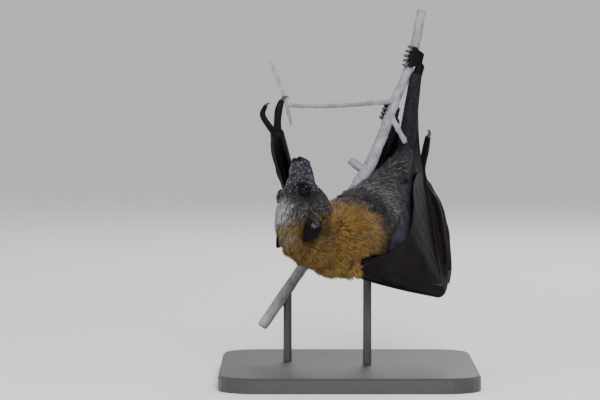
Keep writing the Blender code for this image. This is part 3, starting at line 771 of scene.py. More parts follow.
# an eyelid's section: how far outside the opening in radians, and its height on the ball
LID_PROFILE = ((0.0, -0.25), (0.0, 0.55), (0.05, 0.95), (0.14, 1.05), (0.3, 0.85),
               (0.42, 1.0), (0.6, 0.7), (0.9, 0.2), (1.25, -0.6))
LID_OPENING = (46, 18)      # degrees from the middle to the lids, and more at the corners


def eye_lids(sign):
    """Upper and lower lid as one band over the eyeball, with a thick almond-shaped edge."""
    middle, look, front = eye_frame(sign)
    up = np.cross(look, front) * sign
    count = 64
    turns = np.arange(count) * 2 * math.pi / count
    narrow, more = LID_OPENING
    opening = math.radians(1) * (narrow + more * np.abs(np.cos(turns)) ** 1.5)
    rings = []
    for widen, lift in LID_PROFILE:
        angle = opening + widen
        ways = (look * np.cos(angle)[:, None]
                + (front * np.cos(turns)[:, None] + up * np.sin(turns)[:, None])
                * np.sin(angle)[:, None])
        rings.append(middle + ways * (EYE_RADIUS + lift))
    faces = []
    for i in range(len(rings)):
        low, high = i * count, (i + 1) % len(rings) * count
        for k in range(count):
            n = (k + 1) % count
            corners = (low + k, high + k, high + n, low + n)
            faces.append(corners[::sign])
    return np.vstack(rings), faces


# an ear's half width at each share of its length
EAR_PROFILE = ((0.0, 4.6), (0.12, 5.6), (0.3, 6.5), (0.45, 6.5), (0.62, 5.5), (0.78, 3.9),
               (0.91, 2.1), (1.0, 0.6))


def ear_shape(side):
    """Cupped leaf of an ear with a rolled rim and faint cross ribs."""
    root = head_point(*EAR_ROOT[side], SIDES[side])
    reach = np.array(EAR_REACH[side], float)
    rows = smoothed(EAR_PROFILE, 5)
    along = unit(reach)
    way = np.array(EAR_WIDTH_WAY[side], float)
    across = unit(way - along * (along @ way))
    normal = np.cross(along, across) * SIDES[side]
    columns = 22
    grid = np.zeros((len(rows), columns + 1, 3))
    for i, (share, half) in enumerate(rows):
        curl = math.radians(62 - 22 * share)
        for j in range(columns + 1):
            u = 2 * j / columns - 1
            lift = half * (math.cos(curl) - math.cos(u * curl)) / math.sin(curl)
            rib = 0.22 * math.sin(share * 40) * (1 - u * u) * math.sin(math.pi * share)
            droop = -2.5 * math.sin(math.pi * share) + 3.0 * share ** 2
            grid[i, j] = (root + reach * share + across * half * math.sin(u * curl)
                          / math.sin(curl) + normal * (lift + rib + droop + 2.0))
    return walled(grid, 0.55, 0.5)


def grid_normals(grid):
    """The way that a grid of points faces, at each of them."""
    return unit(np.cross(np.gradient(grid, axis=0), np.gradient(grid, axis=1)))


def walled(grid, half, rim):
    """A closed wall round a grid of points, `half` thick each way and `rim` more at edges."""
    rows, columns = grid.shape[:2]
    normal = grid_normals(grid)
    edge = np.zeros((rows, columns))
    if rim:
        i = np.minimum(np.arange(rows)[:, None], rows - 1 - np.arange(rows)[:, None])
        j = np.minimum(np.arange(columns)[None], columns - 1 - np.arange(columns)[None])
        edge = np.exp(-np.minimum(i + 0 * j, j + 0 * i) / 0.8) * rim
    thick = (half + edge)[..., None]
    points = np.vstack([(grid + normal * thick).reshape(-1, 3),
                        (grid - normal * thick).reshape(-1, 3)])
    below = rows * columns
    faces = []
    for i in range(rows - 1):
        for j in range(columns - 1):
            a, b = i * columns + j, (i + 1) * columns + j
            faces.append((a, b, b + 1, a + 1))
            faces.append((below + a, below + a + 1, below + b + 1, below + b))
    border = (list(range(columns))
              + [i * columns + columns - 1 for i in range(1, rows)]
              + [(rows - 1) * columns + j for j in range(columns - 2, -1, -1)]
              + [i * columns for i in range(rows - 2, 0, -1)])
    for a, b in zip(border, border[1:] + border[:1]):
        faces.append((a, b, below + b, below + a))
    return points, faces


MEMBRANES = {
    # each is two or three guide lines; matching points of the lines face each other
    "wing_front_right": (
        ((3, -62, 103), (16, -77, 100), (38, -52, 93), (62, -27, 85), (87, 2, 79),
         (89, 20, 92), (87, 40, 108), (83, 76, 138), (77, 118, 176)),
        ((2, -64, 116), (15, -80, 118), (32, -67, 120), (47, -49, 127), (58, -28, 140),
         (62, 2, 159), (63, 34, 178), (69, 84, 190), (75, 114, 180)),
    ),
    "wing_rear_right": (
        ((16, -58, 114), (34, -36, 128), (42, -20, 148), (43, 6, 171), (47, 44, 191),
         (58, 76, 214), (61, 77, 244), (65, 68, 273)),
        ((17, -58, 108), (60, -4, 106), (66, 24, 134), (67, 52, 160), (65, 76, 188),
         (66, 86, 214), (66, 80, 240), (66.5, 68, 274)),
        ((13, -62, 108), (86, 8, 81), (86, 50, 114), (81, 86, 146), (76, 112, 176),
         (72, 100, 204), (69, 87, 236), (68, 68, 275)),
    ),
    "wing_front_left": (
        ((-28, -22, 128), (-40, 26, 131), (-46, 80, 137), (-49, 47, 162), (-55, 10, 192),
         (-66, -47, 231)),
        ((-30, -24, 132), (-35, -20, 143), (-42, -20, 162), (-47, -30, 178), (-54, -38, 203),
         (-62, -47, 226)),
    ),
    "wing_rear_left": (
        ((-17, -8, 133), (3, 20, 150), (28, 52, 176)),
        ((-30, 6, 131), (-30, 14, 142), (-12, 10, 160)),
        ((-40, 26, 131), (-46, 78, 137), (-51, 46, 157)),
    ),
    "leg_membrane_left": (
        ((44, 67, 234), (38, 83, 219), (29, 110, 190)),
        ((43, 66, 232), (31, 70, 206), (30, 56, 180)),
    ),
    "tail_membrane": (
        ((50, 66, 198), (56, 84, 212), (60, 78, 240)),
        ((46, 70, 195), (43, 88, 207), (49, 80, 229)),
        ((41, 68, 190), (30, 108, 192), (42, 76, 226)),
    ),
}
FREE_RIMS = ("wing_front_right", "wing_front_left", "leg_membrane_left")
WEB_CELL = 2.4              # size of a web's faces


def path_length(line):
    """Length along a line of points."""
    return np.linalg.norm(np.diff(line, axis=0), axis=1).sum()


def membrane(name):
    """One web of wing skin with soft folds, and a corded rim where its edge is free."""
    longest = max(path_length(smoothed(curve, 4)) for curve in MEMBRANES[name])
    broad = [curve[len(curve) // 2] for curve in MEMBRANES[name]]
    columns = int(longest / WEB_CELL)
    rows = int(path_length(smoothed(broad, 4)) / WEB_CELL) + 8
    guides = []
    for curve in MEMBRANES[name]:
        line = smoothed(curve, 24)
        picks = np.linspace(0, len(line) - 1, columns + 1).round().astype(int)
        guides.append(line[picks])
    grid = np.zeros((columns + 1, rows + 1, 3))
    for i in range(columns + 1):
        across = smoothed([guide[i] for guide in guides], 24)
        picks = np.linspace(0, len(across) - 1, rows + 1)
        low = np.floor(picks).astype(int)
        high = np.minimum(low + 1, len(across) - 1)
        grid[i] = across[low] + (across[high] - across[low]) * (picks - low)[:, None]
    u = np.linspace(0, 1, columns + 1)[:, None]
    v = np.linspace(0, 1, rows + 1)[None]
    calm = np.sin(np.pi * np.clip(u, 0, 1)) ** 0.5 * np.sin(np.pi * v) ** 0.5
    flat = grid.reshape(-1, 3)
    folds = ripple(flat, 30, 11).reshape(calm.shape) * 0.8
    folds += ripple(flat, 9, 12).reshape(calm.shape) * 0.12
    grid = grid + grid_normals(grid) * (folds * calm)[..., None]
    shapes = [walled(grid, MEMBRANE_THICK / 2, 0.0)]
    if name in FREE_RIMS:
        rim = grid[::3, -1]
        shapes.append(tube(rim, [1.0] * len(rim), sides=10, steps=1))
    return merged(shapes)


def build_skin():
    """The fused flesh with its face carved, thinned to its budget of triangles."""
    skin = fused_skin()
    points = get_points(skin.data)
    points = carve_face(points, get_points(skin.data, normals=True))
    set_points(skin.data, points)
    thin = skin.modifiers.new("thin", "DECIMATE")
    thin.ratio = min(1.0, SKIN_FACES / (2 * len(skin.data.polygons)))
    apply_modifiers(skin)
    return skin


FLESH, WEB, LID, FLANK_WEB, EAR = range(5)      # what each point of the skin belongs to
UNDER_HAIR_SHADE = 0.45           # painted shade: how dark the skin is left under the hair, as in the depth of the coat
EAR_HIGHLIGHT_SHARE = {"left": 0.4, "right": 0.16}      # how far up the ear its painted highlight lies


def add_extras(skin):
    """Join lids, ears and webs to the fused skin and colour all of it."""
    shapes = [(get_points(skin.data), [tuple(face.vertices) for face in skin.data.polygons])]
    kinds = [FLESH]
    for side, sign in SIDES.items():
        shapes += [eye_lids(sign), ear_shape(side)]
        kinds += [LID, EAR]
    for name in MEMBRANES:
        shapes.append(membrane(name))
        kinds.append(FLANK_WEB if name == "wing_rear_right" else WEB)
    kind = np.repeat(kinds, [len(shape[0]) for shape in shapes])
    points, faces = merged(shapes)
    whole = make_object("bat_skin", (points, faces))
    bpy.data.objects.remove(skin, do_unlink=True)
    whole.name = "bat_skin"
    colour_skin(whole.data, points, kind)
    whole.data.shade_smooth()
    return whole


def colour_skin(mesh, points, kind):
    """The coat's markings under the hair, darkened there as painted shade, and the colours of
    lids, ears and webs, with a painted highlight on each ear and a painted sheen on the web
    along the right flank.
    """
    part = locate(points)[0]
    tone = markings(points, part)
    bare = bareness(points, part)
    hairy = (kind == FLESH) & (bare < 0.5)
    # painted shade: hairy skin is darkened, as in the depth of the coat
    tone[hairy] *= UNDER_HAIR_SHADE
    tone[np.isin(kind, (WEB, FLANK_WEB, EAR))] = WING_BLACK
    # painted sheen: the inner part of the web along the right flank is made a lighter blue-grey
    web_sheen = 1 - ease(points[:, 0], 52, 66)
    web_sheen = (kind == FLANK_WEB) * web_sheen * ease(points[:, 2], 118, 135)
    tone = over(tone, WEB_SHEEN_BLUE, web_sheen)
    tone[kind == LID] = SLATE_DARK * 0.35
    # painted highlight: a pale lavender spot near each ear's root, where its glossy skin would
    # catch the light
    for side, sign in SIDES.items():
        highlight_spot = head_point(*EAR_ROOT[side], sign)
        highlight_spot = highlight_spot + np.array(EAR_REACH[side]) * EAR_HIGHLIGHT_SHARE[side]
        near = (kind == EAR) * (1 - ease(gap_to(highlight_spot, points), 1.5, 5.5))
        tone = over(tone, MUZZLE_PALE * 0.35, near)
    bare[kind != FLESH] = 1
    tone = tone * (1 + 0.10 * ripple(points, 12, 21))[:, None]
    paint(mesh, "tone", tone)
    paint(mesh, "bare", bare)


# ---- coat --------------------------------------------------------------------------------
# tufts to a square millimetre, length, lift at the root and at the tip in degrees,
# half width, pull of the locks, pull of weight
DENSITY, LENGTH, ROOT_LIFT, TIP_LIFT, HALF_WIDTH, LOCK_PULL, WEIGHT_PULL = range(7)
COAT = {
    "head": (3.2, 4.2, 26, 6, 0.17, 0.25, 0.1),
    "neck": (2.6, 10.0, 58, 24, 0.30, 0.4, 0.2),
    "trunk": (2.1, 11.5, 32, 8, 0.27, 0.7, 0.8),
    "arm": (1.8, 5.0, 30, 8, 0.2, 0.3, 0.3),
    "thigh": (1.8, 5.5, 26, 5, 0.2, 0.5, 0.3),
    "shank": (2.2, 2.4, 16, 3, 0.14, 0.2, 0.0),
}
MANTLE_COAT = np.array((2.4, 10.0, 56, 24, 0.30, 0.4, 0.2))
# on the head each of them runs from a value behind to one in front, between two places
FACE_COAT = {
    ROOT_LIFT: (52, 24, 10, 42),
    TIP_LIFT: (24, 6, 10, 42),
    DENSITY: (2.6, 4.6, 14, 44),
    HALF_WIDTH: (0.24, 0.11, 6, 44),
    LOCK_PULL: (0.55, 0.3, 14, 44),
}


def coat_numbers(points, part, share):
    """Density, length, lifts, width, lock pull and weight pull at each point."""
    values = np.zeros((len(points), 7))
    for name, row in COAT.items():
        values[is_part(part, name)] = row
    forward = head_measures(points)[0]
    on_head = is_part(part, "head")
    # the face's hair is shortest on the muzzle and longest on the cheeks and nape
    length = mix(9.5, 6.0, ease(forward, 0, 22))
    values[on_head, LENGTH] = mix(length, 2.3, ease(forward, 26, 44))[on_head]
    for column, (behind, ahead, start, end) in FACE_COAT.items():
        values[on_head, column] = mix(behind, ahead, ease(forward, start, end))[on_head]
    # the thigh's hair thins out towards the knee
    thigh = is_part(part, "thigh")
    values[thigh, LENGTH] = mix(7.0, 2.0, ease(share[thigh], 0.0, 0.75))
    values[thigh, ROOT_LIFT] = mix(26, 12, share[thigh])
    # the mantle's long hair runs on over the chest until it meets the grey
    beyond = beyond_mantle(points) + ripple(points, 14, 3) * 2.0
    golden = is_part(part, "trunk", "arm") & (beyond < 6)
    values[golden] = over(values[golden], MANTLE_COAT, 1 - ease(beyond[golden], -2, 6))
    values[:, DENSITY] *= bareness(points, part) < 0.5
    return values


def skin_samples(skin, draw):
    """Roots for every tuft of the coat, spread over the hairy skin."""
    mesh = skin.data
    mesh.calc_loop_triangles()
    corners = np.zeros(len(mesh.loop_triangles) * 3, np.int32)
    mesh.loop_triangles.foreach_get("vertices", corners)
    corners = corners.reshape(-1, 3)
    points, normals = get_points(mesh), get_points(mesh, normals=True)
    a, b, c = (points[corners[:, k]] for k in range(3))
    middle = (a + b + c) / 3
    area = np.linalg.norm(np.cross(b - a, c - a), axis=1) / 2
    density = coat_numbers(middle, *locate(middle)[:2])[:, DENSITY]
    counts = draw.poisson(area * density)
    pick = np.repeat(np.arange(len(corners)), counts)
    r1, r2 = np.sqrt(draw.random(len(pick))), draw.random(len(pick))
    weights = np.column_stack([1 - r1, r1 * (1 - r2), r1 * r2])
    triangle = corners[pick]
    roots = (points[triangle] * weights[..., None]).sum(1)
    ways = unit((normals[triangle] * weights[..., None]).sum(1))
    return roots, ways


def nearest_of(places, points):
    """The number of the place that each point is nearest to."""
    tree = KDTree(len(places))
    for i, place in enumerate(places):
        tree.insert(Vector(place), i)
    tree.balance()
    return np.array([tree.find(Vector(point))[1] for point in points])


LID_CLEARANCE, EAR_CLEARANCE, WOOD_CLEARANCE = 2.4, 8.5, 0.3       # from hair to these


def crosses_web(roots, tips):
    """Mask of the tufts that would come through the web along the right flank."""
    one, other = np.split(membrane("wing_rear_right")[0], 2)
    middle, facing = (one + other) / 2, unit(one - other)
    near = np.flatnonzero(roots[:, 0] > 8)      # all that grow on the right side
    spot = nearest_of(middle, tips[near])
    from_root = ((roots[near] - middle[spot]) * facing[spot]).sum(1)
    from_tip = ((tips[near] - middle[spot]) * facing[spot]).sum(1)
    close = gap_to(middle[spot], tips[near]) < 4
    crossed = np.zeros(len(roots), bool)
    crossed[near] = close & (from_root * from_tip < 0)
    return crossed


def clear_of_things(roots, tips):
    """Mask of the tufts that keep out of the eyes, the ears, the webs and the wood."""
    keep = ~crosses_web(roots, tips)
    for side, sign in SIDES.items():
        middle, look, _ = eye_frame(sign)
        for ends in (roots, tips):
            over_eye = (ends - middle) @ look > 1.5
            keep &= ~((gap_to(middle, ends) < EYE_RADIUS + LID_CLEARANCE) & over_eye)
        root = head_point(*EAR_ROOT[side], sign)
        reach = np.array(EAR_REACH[side], float)
        along = ((tips - root) @ reach) / (reach @ reach)
        gap = np.linalg.norm(tips - root - np.clip(along, 0, 1)[:, None] * reach, axis=1)
        keep &= ~((gap < EAR_CLEARANCE) & (along > 0.22) & (along < 1.1))
    # a ragged edge over the right wing, and another under the belly
    over_wing = tips[:, 0] - 13 - 3 * ripple(roots, 4, 77)
    keep &= ~((over_wing > 0) & (tips[:, 2] < 120) & (tips[:, 1] < 20))
    keep &= tips[:, 2] > 97 + ripple(roots, 5, 78)
    rows = smoothed(np.column_stack([BRANCH, BRANCH_RADII]), 4)
    for start, end in zip(rows, rows[1:]):
        for ends in (tips, (roots + tips) / 2):
            gap = gap_to_line(start[:3], end[:3], ends)[2]
            keep &= gap > start[3] + WOOD_CLEARANCE
    return keep


LOCK_SIZE = 4               # tufts in a lock of the coat, on average
ROOT_DEPTH = 0.4            # how far tufts start under the skin
COLOUR_SPREAD = 1.8         # how far aside a lock may take its colour from
MUZZLE_START = 37           # forward of this the face is muzzle


def locks(roots, tips, pull, spacing, draw):
    """Draw the tips of neighbouring tufts together into locks."""
    count = max(1, int(len(roots) / spacing))
    centres = draw.choice(len(roots), count, replace=False)
    leader = centres[nearest_of(roots[centres], roots)]
    meeting = roots[leader] + (tips[leader] - roots[leader]) * 1.02
    return mix(tips, meeting, pull[:, None]), leader


def lie_of_coat(roots, normals, along, values, draw):
    """The way that each tuft lies on the skin: along the part, drawn down by weight."""
    lie = along + values[:, WEIGHT_PULL, None] * np.array((0, 0, -1.0)) * 1.6
    swirl = np.column_stack([ripple(roots, 16, seed) for seed in (41, 42, 43)])
    loose = np.radians(values[:, TIP_LIFT, None]) * 1.3
    lie = lie + swirl * (0.15 + loose * 0.5)
    lie = lie + draw.normal(size=(len(roots), 3)) * (0.08 + loose * 0.4)
    return unit(lie - normals * (lie * normals).sum(1, keepdims=True))


def pale_share(roots, part, flock):
    """Share of the hairs that end pale: few by the eyes, the mantle and the rump."""
    eyes = np.minimum(*(gap_to(head_point(*EYE_PLACE, sign), roots)
                        for sign in SIDES.values()))
    share = 0.25 * is_part(part, "head", "neck") * ease(eyes, 9, 15)
    share = share + 0.36 * is_part(part, "trunk") * ease(beyond_mantle(roots), 12, 28)
    share *= 1 - 0.8 * ease(roots[:, 2], 170, 190)
    return share * (0.3 + 1.4 * flock)


def guard_hair_tone(roots, part):
    """Frosty grey, turning to straw on the head and low on the flank."""
    on_head, on_trunk = is_part(part, "head", "neck"), is_part(part, "trunk")
    straw = on_trunk * (1 - ease(roots[:, 2] + 8 * ripple(roots, 25, 91), 128, 152))
    straw = np.maximum(straw, 0.35 * on_head)
    return over(FROST, STRAW, straw) * (1 + 0.5 * on_head)[:, None]


def coat_tones(roots, part, leader, draw):
    """Colours of each tuft's length and of its tip."""
    aside = draw.normal(size=(len(roots), 3)) * COLOUR_SPREAD
    tone = markings(roots + aside[leader] + aside * 0.5, part)
    # each lock has its own shade, and some hairs of the grey coat end in pale guard hairs
    flock = draw.random(len(roots))[leader]
    pale = draw.random(len(roots))
    grey = tone.min(1) > tone.max(1) * 0.45
    shade = 0.45 + 1.1 * flock + draw.uniform(-0.25, 0.25, len(roots))
    tone = tone * shade[:, None]
    tip_tone = tone * 1.3
    frosted = grey & (pale < pale_share(roots, part, flock))
    tip_tone[frosted] = guard_hair_tone(roots, part)[frosted]
    # the face is streaked with brown, and the muzzle flecked with pale and black
    forward = head_measures(roots)[0]
    streaked = is_part(part, "head") & (forward < MUZZLE_START) & (flock < 0.3)
    tone[streaked] = mix(tone[streaked], CHEEK_BROWN, 0.65)
    muzzle = is_part(part, "head") & (forward > MUZZLE_START)
    pale_fleck, dark_fleck = muzzle & (flock < 0.28), muzzle & (flock > 0.7)
    tip_tone[pale_fleck] = MUZZLE_PALE
    tone[pale_fleck] = MUZZLE_PALE * 0.7
    tone[dark_fleck] *= 0.3
    tip_tone[dark_fleck] *= 0.3
    # golden hairs end paler here and there
    bright = ~grey & (pale < 0.3)
    tip_tone[bright] = mix(tip_tone[bright], GOLD_PALE, 0.75)
    return tone, tip_tone


def grow_coat(skin):
    """All tufts as root, two bends and tip, with their colours and places on the map."""
    draw = np.random.default_rng(17)
    roots, normals = skin_samples(skin, draw)
    part, share, along, turn = locate(roots)
    values = coat_numbers(roots, part, share)
    length = values[:, LENGTH] * draw.uniform(0.72, 1.12, len(roots))
    length = (length * (1 + 0.16 * ripple(roots, 11, 31)))[:, None]
    lie = lie_of_coat(roots, normals, along, values, draw)
    rise, rest = (np.radians(values[:, column, None]) for column in (ROOT_LIFT, TIP_LIFT))
    start_way = lie * np.cos(rise) + normals * np.sin(rise)
    end_way = lie * np.cos(rest) + normals * np.sin(rest)
    half = start_way * 0.5 + end_way * 0.5
    tips = roots + (start_way * 0.3 + half * 0.35 + end_way * 0.35) * length
    tips, leader = locks(roots, tips, values[:, LOCK_PULL], LOCK_SIZE, draw)
    low = roots + start_way * length * 0.33
    high = low + (tips - low) * 0.52 + normals * length * 0.03
    tone, tip_tone = coat_tones(roots, part, leader, draw)
    spin = unit(np.cross(lie, normals) + draw.normal(size=(len(roots), 3)) * 0.25)
    return {"root": roots - normals * ROOT_DEPTH, "low": low, "high": high, "tip": tips,
            "side": spin, "up": normals, "half": values[:, HALF_WIDTH], "tone": tone,
            "tip_tone": tip_tone, "part": part, "share": share, "turn": turn,
            "keep": clear_of_things(roots, tips)}


def tuft_faces(rings):
    """Triangles of a closed three-sided tuft: a root point, rings of three, a tip point."""
    sides = ((1, 3), (3, 2), (2, 1))
    top = 3 * (rings - 1)
    faces = [(0, b, a) for a, b in sides]
    for k in range(0, top, 3):
        for a, b in sides:
            faces += [(a + k, b + k, b + k + 3), (a + k, b + k + 3, a + k + 3)]
    return np.array(faces + [(a + top, b + top, top + 4) for a, b in sides], np.int32)


# a ring's width, share of the tip's colour, and height on the tuft's patch
TUFT_RINGS = {"low": (1.0, 0.0, -0.15), "high": (0.8, 0.55, 0.2)}
# painted shade: each tuft is darker towards its root, as in the depth of the coat
ROOT_PAINTED_SHADE, LENGTH_PAINTED_SHADE = 0.35, 0.85


def tuft_mesh(name, tufts, chosen, long):
    """One coat piece: closed three-sided tufts, with two rings if long and one if short."""
    data = {key: value[chosen] for key, value in tufts.items()}
    count = len(chosen)
    half = data["half"][:, None]
    points, tones, uvs = [data["root"]], [data["tone"] * ROOT_PAINTED_SHADE], [(0.0, -0.5)]
    rings = 2 if long else 1
    for ring, (wide, blend, level) in list(TUFT_RINGS.items())[:rings]:
        middle = data[ring] if long else (data["low"] + data["high"]) / 2
        across = data["side"] * half * wide
        points += [middle + across, middle - across, middle + data["up"] * half * 0.9]
        tones += [mix(data["tone"] * LENGTH_PAINTED_SHADE, data["tip_tone"], blend)] * 3
        uvs += [(-0.5, level), (0.5, level), (0.0, level)]
    points.append(data["tip"])
    tones.append(data["tip_tone"])
    uvs.append((0.0, 0.5))
    size = len(points)
    first = np.arange(count, dtype=np.int32) * size
    corners = (tuft_faces(rings)[None] + first[:, None, None]).reshape(-1)
    mesh = bpy.data.meshes.new(name)
    mesh.vertices.add(count * size)
    set_points(mesh, np.stack(points, 1).reshape(-1, 3))
    mesh.loops.add(len(corners))
    mesh.polygons.add(len(corners) // 3)
    mesh.loops.foreach_set("vertex_index", corners)
    mesh.polygons.foreach_set("loop_start", np.arange(0, len(corners), 3, dtype=np.int32))
    mesh.update(calc_edges=True)
    paint(mesh, "tone", np.stack(tones, 1).reshape(-1, 3))
    place = np.column_stack([data["turn"] / (2 * math.pi) + 0.5, data["share"]])
    place = 0.01 + 0.98 * np.clip(place, 0, 1)
    spread = (place[:, None] + np.array(uvs)[None] * PATCH).reshape(-1, 2)
    layer = mesh.uv_layers.new(name="OFBake")
    layer.data.foreach_set("uv", spread[corners].astype(np.float32).ravel())
    mesh.shade_smooth()
    thing = bpy.data.objects.new(name, mesh)
    bpy.context.scene.collection.objects.link(thing)
    return thing


PIECE_TRIANGLES = 192000    # the most in one piece of the coat


def build_coat(tufts):
    """Split the coat into pieces that stay under the triangle limit."""
    groups = {
        "head": (is_part(tufts["part"], "head"), False),
        "neck": (is_part(tufts["part"], "neck"), True),
        "trunk": (is_part(tufts["part"], "trunk"), True),
        "limb": (is_part(tufts["part"], "arm", "thigh", "shank"), False),
    }
    pieces = []
    for name, (mask, long) in groups.items():
        chosen = np.flatnonzero(mask & tufts["keep"])
        order = np.argsort(tufts["share"][chosen], kind="stable")
        most = PIECE_TRIANGLES // len(tuft_faces(2 if long else 1))
        parts = max(1, math.ceil(len(chosen) / most))
        for number, some in enumerate(np.array_split(chosen[order], parts), 1):
            piece = tuft_mesh("coat_%s_%d" % (name, number), tufts, some, long)
            pieces.append(piece)
    return pieces


# ---- eyes and claws ------------------------------------------------------------------------
def build_eye(side):
    """Eyeball with a slightly domed cornea."""
    middle, look, front = eye_frame(SIDES[side])
    axes = (front, np.cross(look, front), look)
    points, faces = ball(middle, (EYE_RADIUS,) * 3, axes, rings=40, sides=48)
    facing = (points - middle) @ look / EYE_RADIUS
    points = points + look * (0.5 * ease(facing, 0.72, 1.0))[:, None]
    thing = make_object("bat_eye_" + side, (points, faces))
    paint(thing.data, "iris", facing)
    thing.data.shade_smooth()
    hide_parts("eye_" + side)
    return thing


def claw_shape(points, radius, sides=14):
    """Curved horn that narrows to a point."""
    line = smoothed(points, 6)
    share = np.linspace(0, 1, len(line))
    radii = radius * (1 - share ** 1.6) + 0.12
    return tube(line, radii, sides, steps=1)


def build_claws():
    """Claws of the thumbs, the toes and the free index finger."""
    shapes = []
    for side in SIDES:
        shapes.append(claw_shape(THUMB_CLAW[side], 1.9))
        for toe in FEET[side]["toes"]:
            shapes.append(claw_shape(toe[CLAW_START:], 1.55))
    tip = np.array(INDEX[-1])
    shapes.append(claw_shape((tip, tip + (2.4, -2.0, 2.4), tip + (4.4, -2.6, 2.2)), 1.1))
    thing = make_object("bat_claws", merged(shapes))
    thing.data.shade_smooth()
    return thing


# ---- perch and stand -----------------------------------------------------------------------
KNOB_WIDTH, KNOB_HEIGHT = 0.55, 0.25       # of a leaf scar, for the wood's radius


def wood_shape(points, radii, seed, sides=18, steps=12):
    """A length of branch with slight swellings and flat sawn ends."""
    rows = np.column_stack([points, radii, radii])
    shape, faces = loft(rows, (1, 0.1, 0), sides, steps, round_tips=False)
    rings = shape.reshape(-1, sides, 3)
    count = len(rings)
    line = rings.mean(1)
    outward = unit(rings - line[:, None]).reshape(-1, 3)
    rough = ripple(shape, 9, seed) * 0.22 + ripple(shape, 3.2, seed + 1) * 0.10
    lump = np.maximum(ripple(line, 30, seed + 2), 0)
    rough += np.repeat(lump, sides) * 0.35
    # leaf scars: low knobs on alternate sides of the wood
    draw = np.random.default_rng(seed)
    for i, at in enumerate(range(count // 12, count, max(1, count // 6))):
        turn = draw.uniform(-1.2, 1.2) + math.pi * (i % 2)
        knob = rings[at, int(turn / (2 * math.pi) * sides) % sides]
        swell = np.exp(-(gap_to(knob, shape) / (KNOB_WIDTH * radii[0])) ** 2)
        rough += KNOB_HEIGHT * radii[0] * swell
    return shape + outward * rough[:, None], faces


def build_perch():
    """Branch, side twig and hooked twig, in bark."""
    shapes = {
        "perch_branch": [
            wood_shape(BRANCH, BRANCH_RADII, seed=51, sides=28, steps=14),
            wood_shape(STUB, (3.0, 2.6, 2.0), seed=54, steps=8),
            wood_shape(SIDE_SHOOT, (4.4, 3.6, 3.0), seed=57, steps=8),
        ],
        "perch_side_twig": [wood_shape(TWIG, (2.3, 2.0, 1.9, 1.7), seed=60)],
        "perch_hook_twig": [wood_shape(HOOK_TWIG, (1.5, 1.6, 1.7, 1.4), seed=63)],
    }
    pieces = []
    for node, some in shapes.items():
        points, faces = merged(some)
        thing = make_object(node.replace("perch", "bark"), (points, faces))
        thing.data.shade_smooth()
        thing.data.set_sharp_from_angle(angle=math.radians(50))
        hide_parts(node)
        pieces.append(thing)
    return pieces


STAND_BLACK = (0.03, 0.03, 0.032)


# ---- materials -----------------------------------------------------------------------------
def principled(name, colour=(0.5, 0.5, 0.5), **sockets):
    """A material with its Principled shader; sockets are given with _ for a space."""
    material = bpy.data.materials.new(name)
    material.use_nodes = True
    shader = material.node_tree.nodes["Principled BSDF"]
    shader.inputs["Base Color"].default_value = (*colour, 1)
    for socket, value in sockets.items():
        shader.inputs[socket.replace("_", " ")].default_value = value
    return material, material.node_tree, shader


def node(tree, kind, links=(), **values):
    """A node with its settings, and its inputs linked or filled."""
    made = tree.nodes.new("ShaderNode" + kind)
    for key, value in values.items():
        if key.startswith("in_"):
            made.inputs[key[3:].replace("_", " ")].default_value = value
        else:
            setattr(made, key, value)
    for socket, source in dict(links).items():
        tree.links.new(source, made.inputs[socket])
    return made


def relief_group():
    """Fine creases and pores: a height that skin, horn and bark share."""
    tree = bpy.data.node_groups.new("fine_relief", "ShaderNodeTree")
    for name, start in (("Crease size", 900.0), ("Grain size", 3000.0), ("Grain share", 0.4)):
        socket = tree.interface.new_socket(name=name, in_out="INPUT",
                                           socket_type="NodeSocketFloat")
        socket.default_value = start
    tree.interface.new_socket(name="Height", in_out="OUTPUT", socket_type="NodeSocketFloat")
    tree.interface.new_socket(name="Mottle", in_out="OUTPUT", socket_type="NodeSocketFloat")
    given = tree.nodes.new("NodeGroupInput")
    out = tree.nodes.new("NodeGroupOutput")
    place = node(tree, "TexCoord").outputs["Object"]
    crease = node(tree, "TexVoronoi", {"Vector": place, "Scale": given.outputs[0]},
                  feature="DISTANCE_TO_EDGE")
    shallow = node(tree, "MapRange", {"Value": crease.outputs["Distance"]},
                   in_From_Max=0.35)
    grain = node(tree, "TexNoise", {"Vector": place, "Scale": given.outputs[1]},
                 in_Detail=3.0)
    both = node(tree, "Mix", {0: given.outputs[2], 2: shallow.outputs["Result"],
                              3: grain.outputs["Fac"]})
    blotch = node(tree, "TexNoise", {"Vector": place}, in_Scale=90.0, in_Detail=4.0)
    tree.links.new(both.outputs[0], out.inputs["Height"])
    tree.links.new(blotch.outputs["Fac"], out.inputs["Mottle"])
    return tree


def relief(tree, group, crease, grain, share):
    """The relief group with its own values, put in a material."""
    made = tree.nodes.new("ShaderNodeGroup")
    made.node_tree = group
    for socket, value in zip(made.inputs, (crease, grain, share)):
        socket.default_value = value
    return made


def add_bump(tree, shader, height, strength, distance):
    """Raise a material's surface by a height mask; the distance is in metres."""
    bump = node(tree, "Bump", {"Height": height}, in_Strength=strength, in_Distance=distance)
    tree.links.new(bump.outputs["Normal"], shader.inputs["Normal"])


def colour_ramp(tree, factor, first, second, *more):
    """Colours between (place, red, green, blue) stops, read by a grey value."""
    made = node(tree, "ValToRGB", {"Fac": factor})
    band = made.color_ramp.elements
    for stop, (place, *colour) in zip(band, (first, second)):
        stop.position = place
        stop.color = (*colour, 1)
    for place, *colour in more:
        band.new(place).color = (*colour, 1)
    return made.outputs["Color"]


def multiply(tree, colour, factor, low, high):
    """Colour scaled by a mask that runs from low to high."""
    scale = node(tree, "MapRange", {"Value": factor}, in_From_Min=0.3, in_From_Max=0.7,
                 in_To_Min=low, in_To_Max=high)
    made = node(tree, "VectorMath", {0: colour, 1: scale.outputs["Result"]},
                operation="MULTIPLY")
    return made.outputs["Vector"]


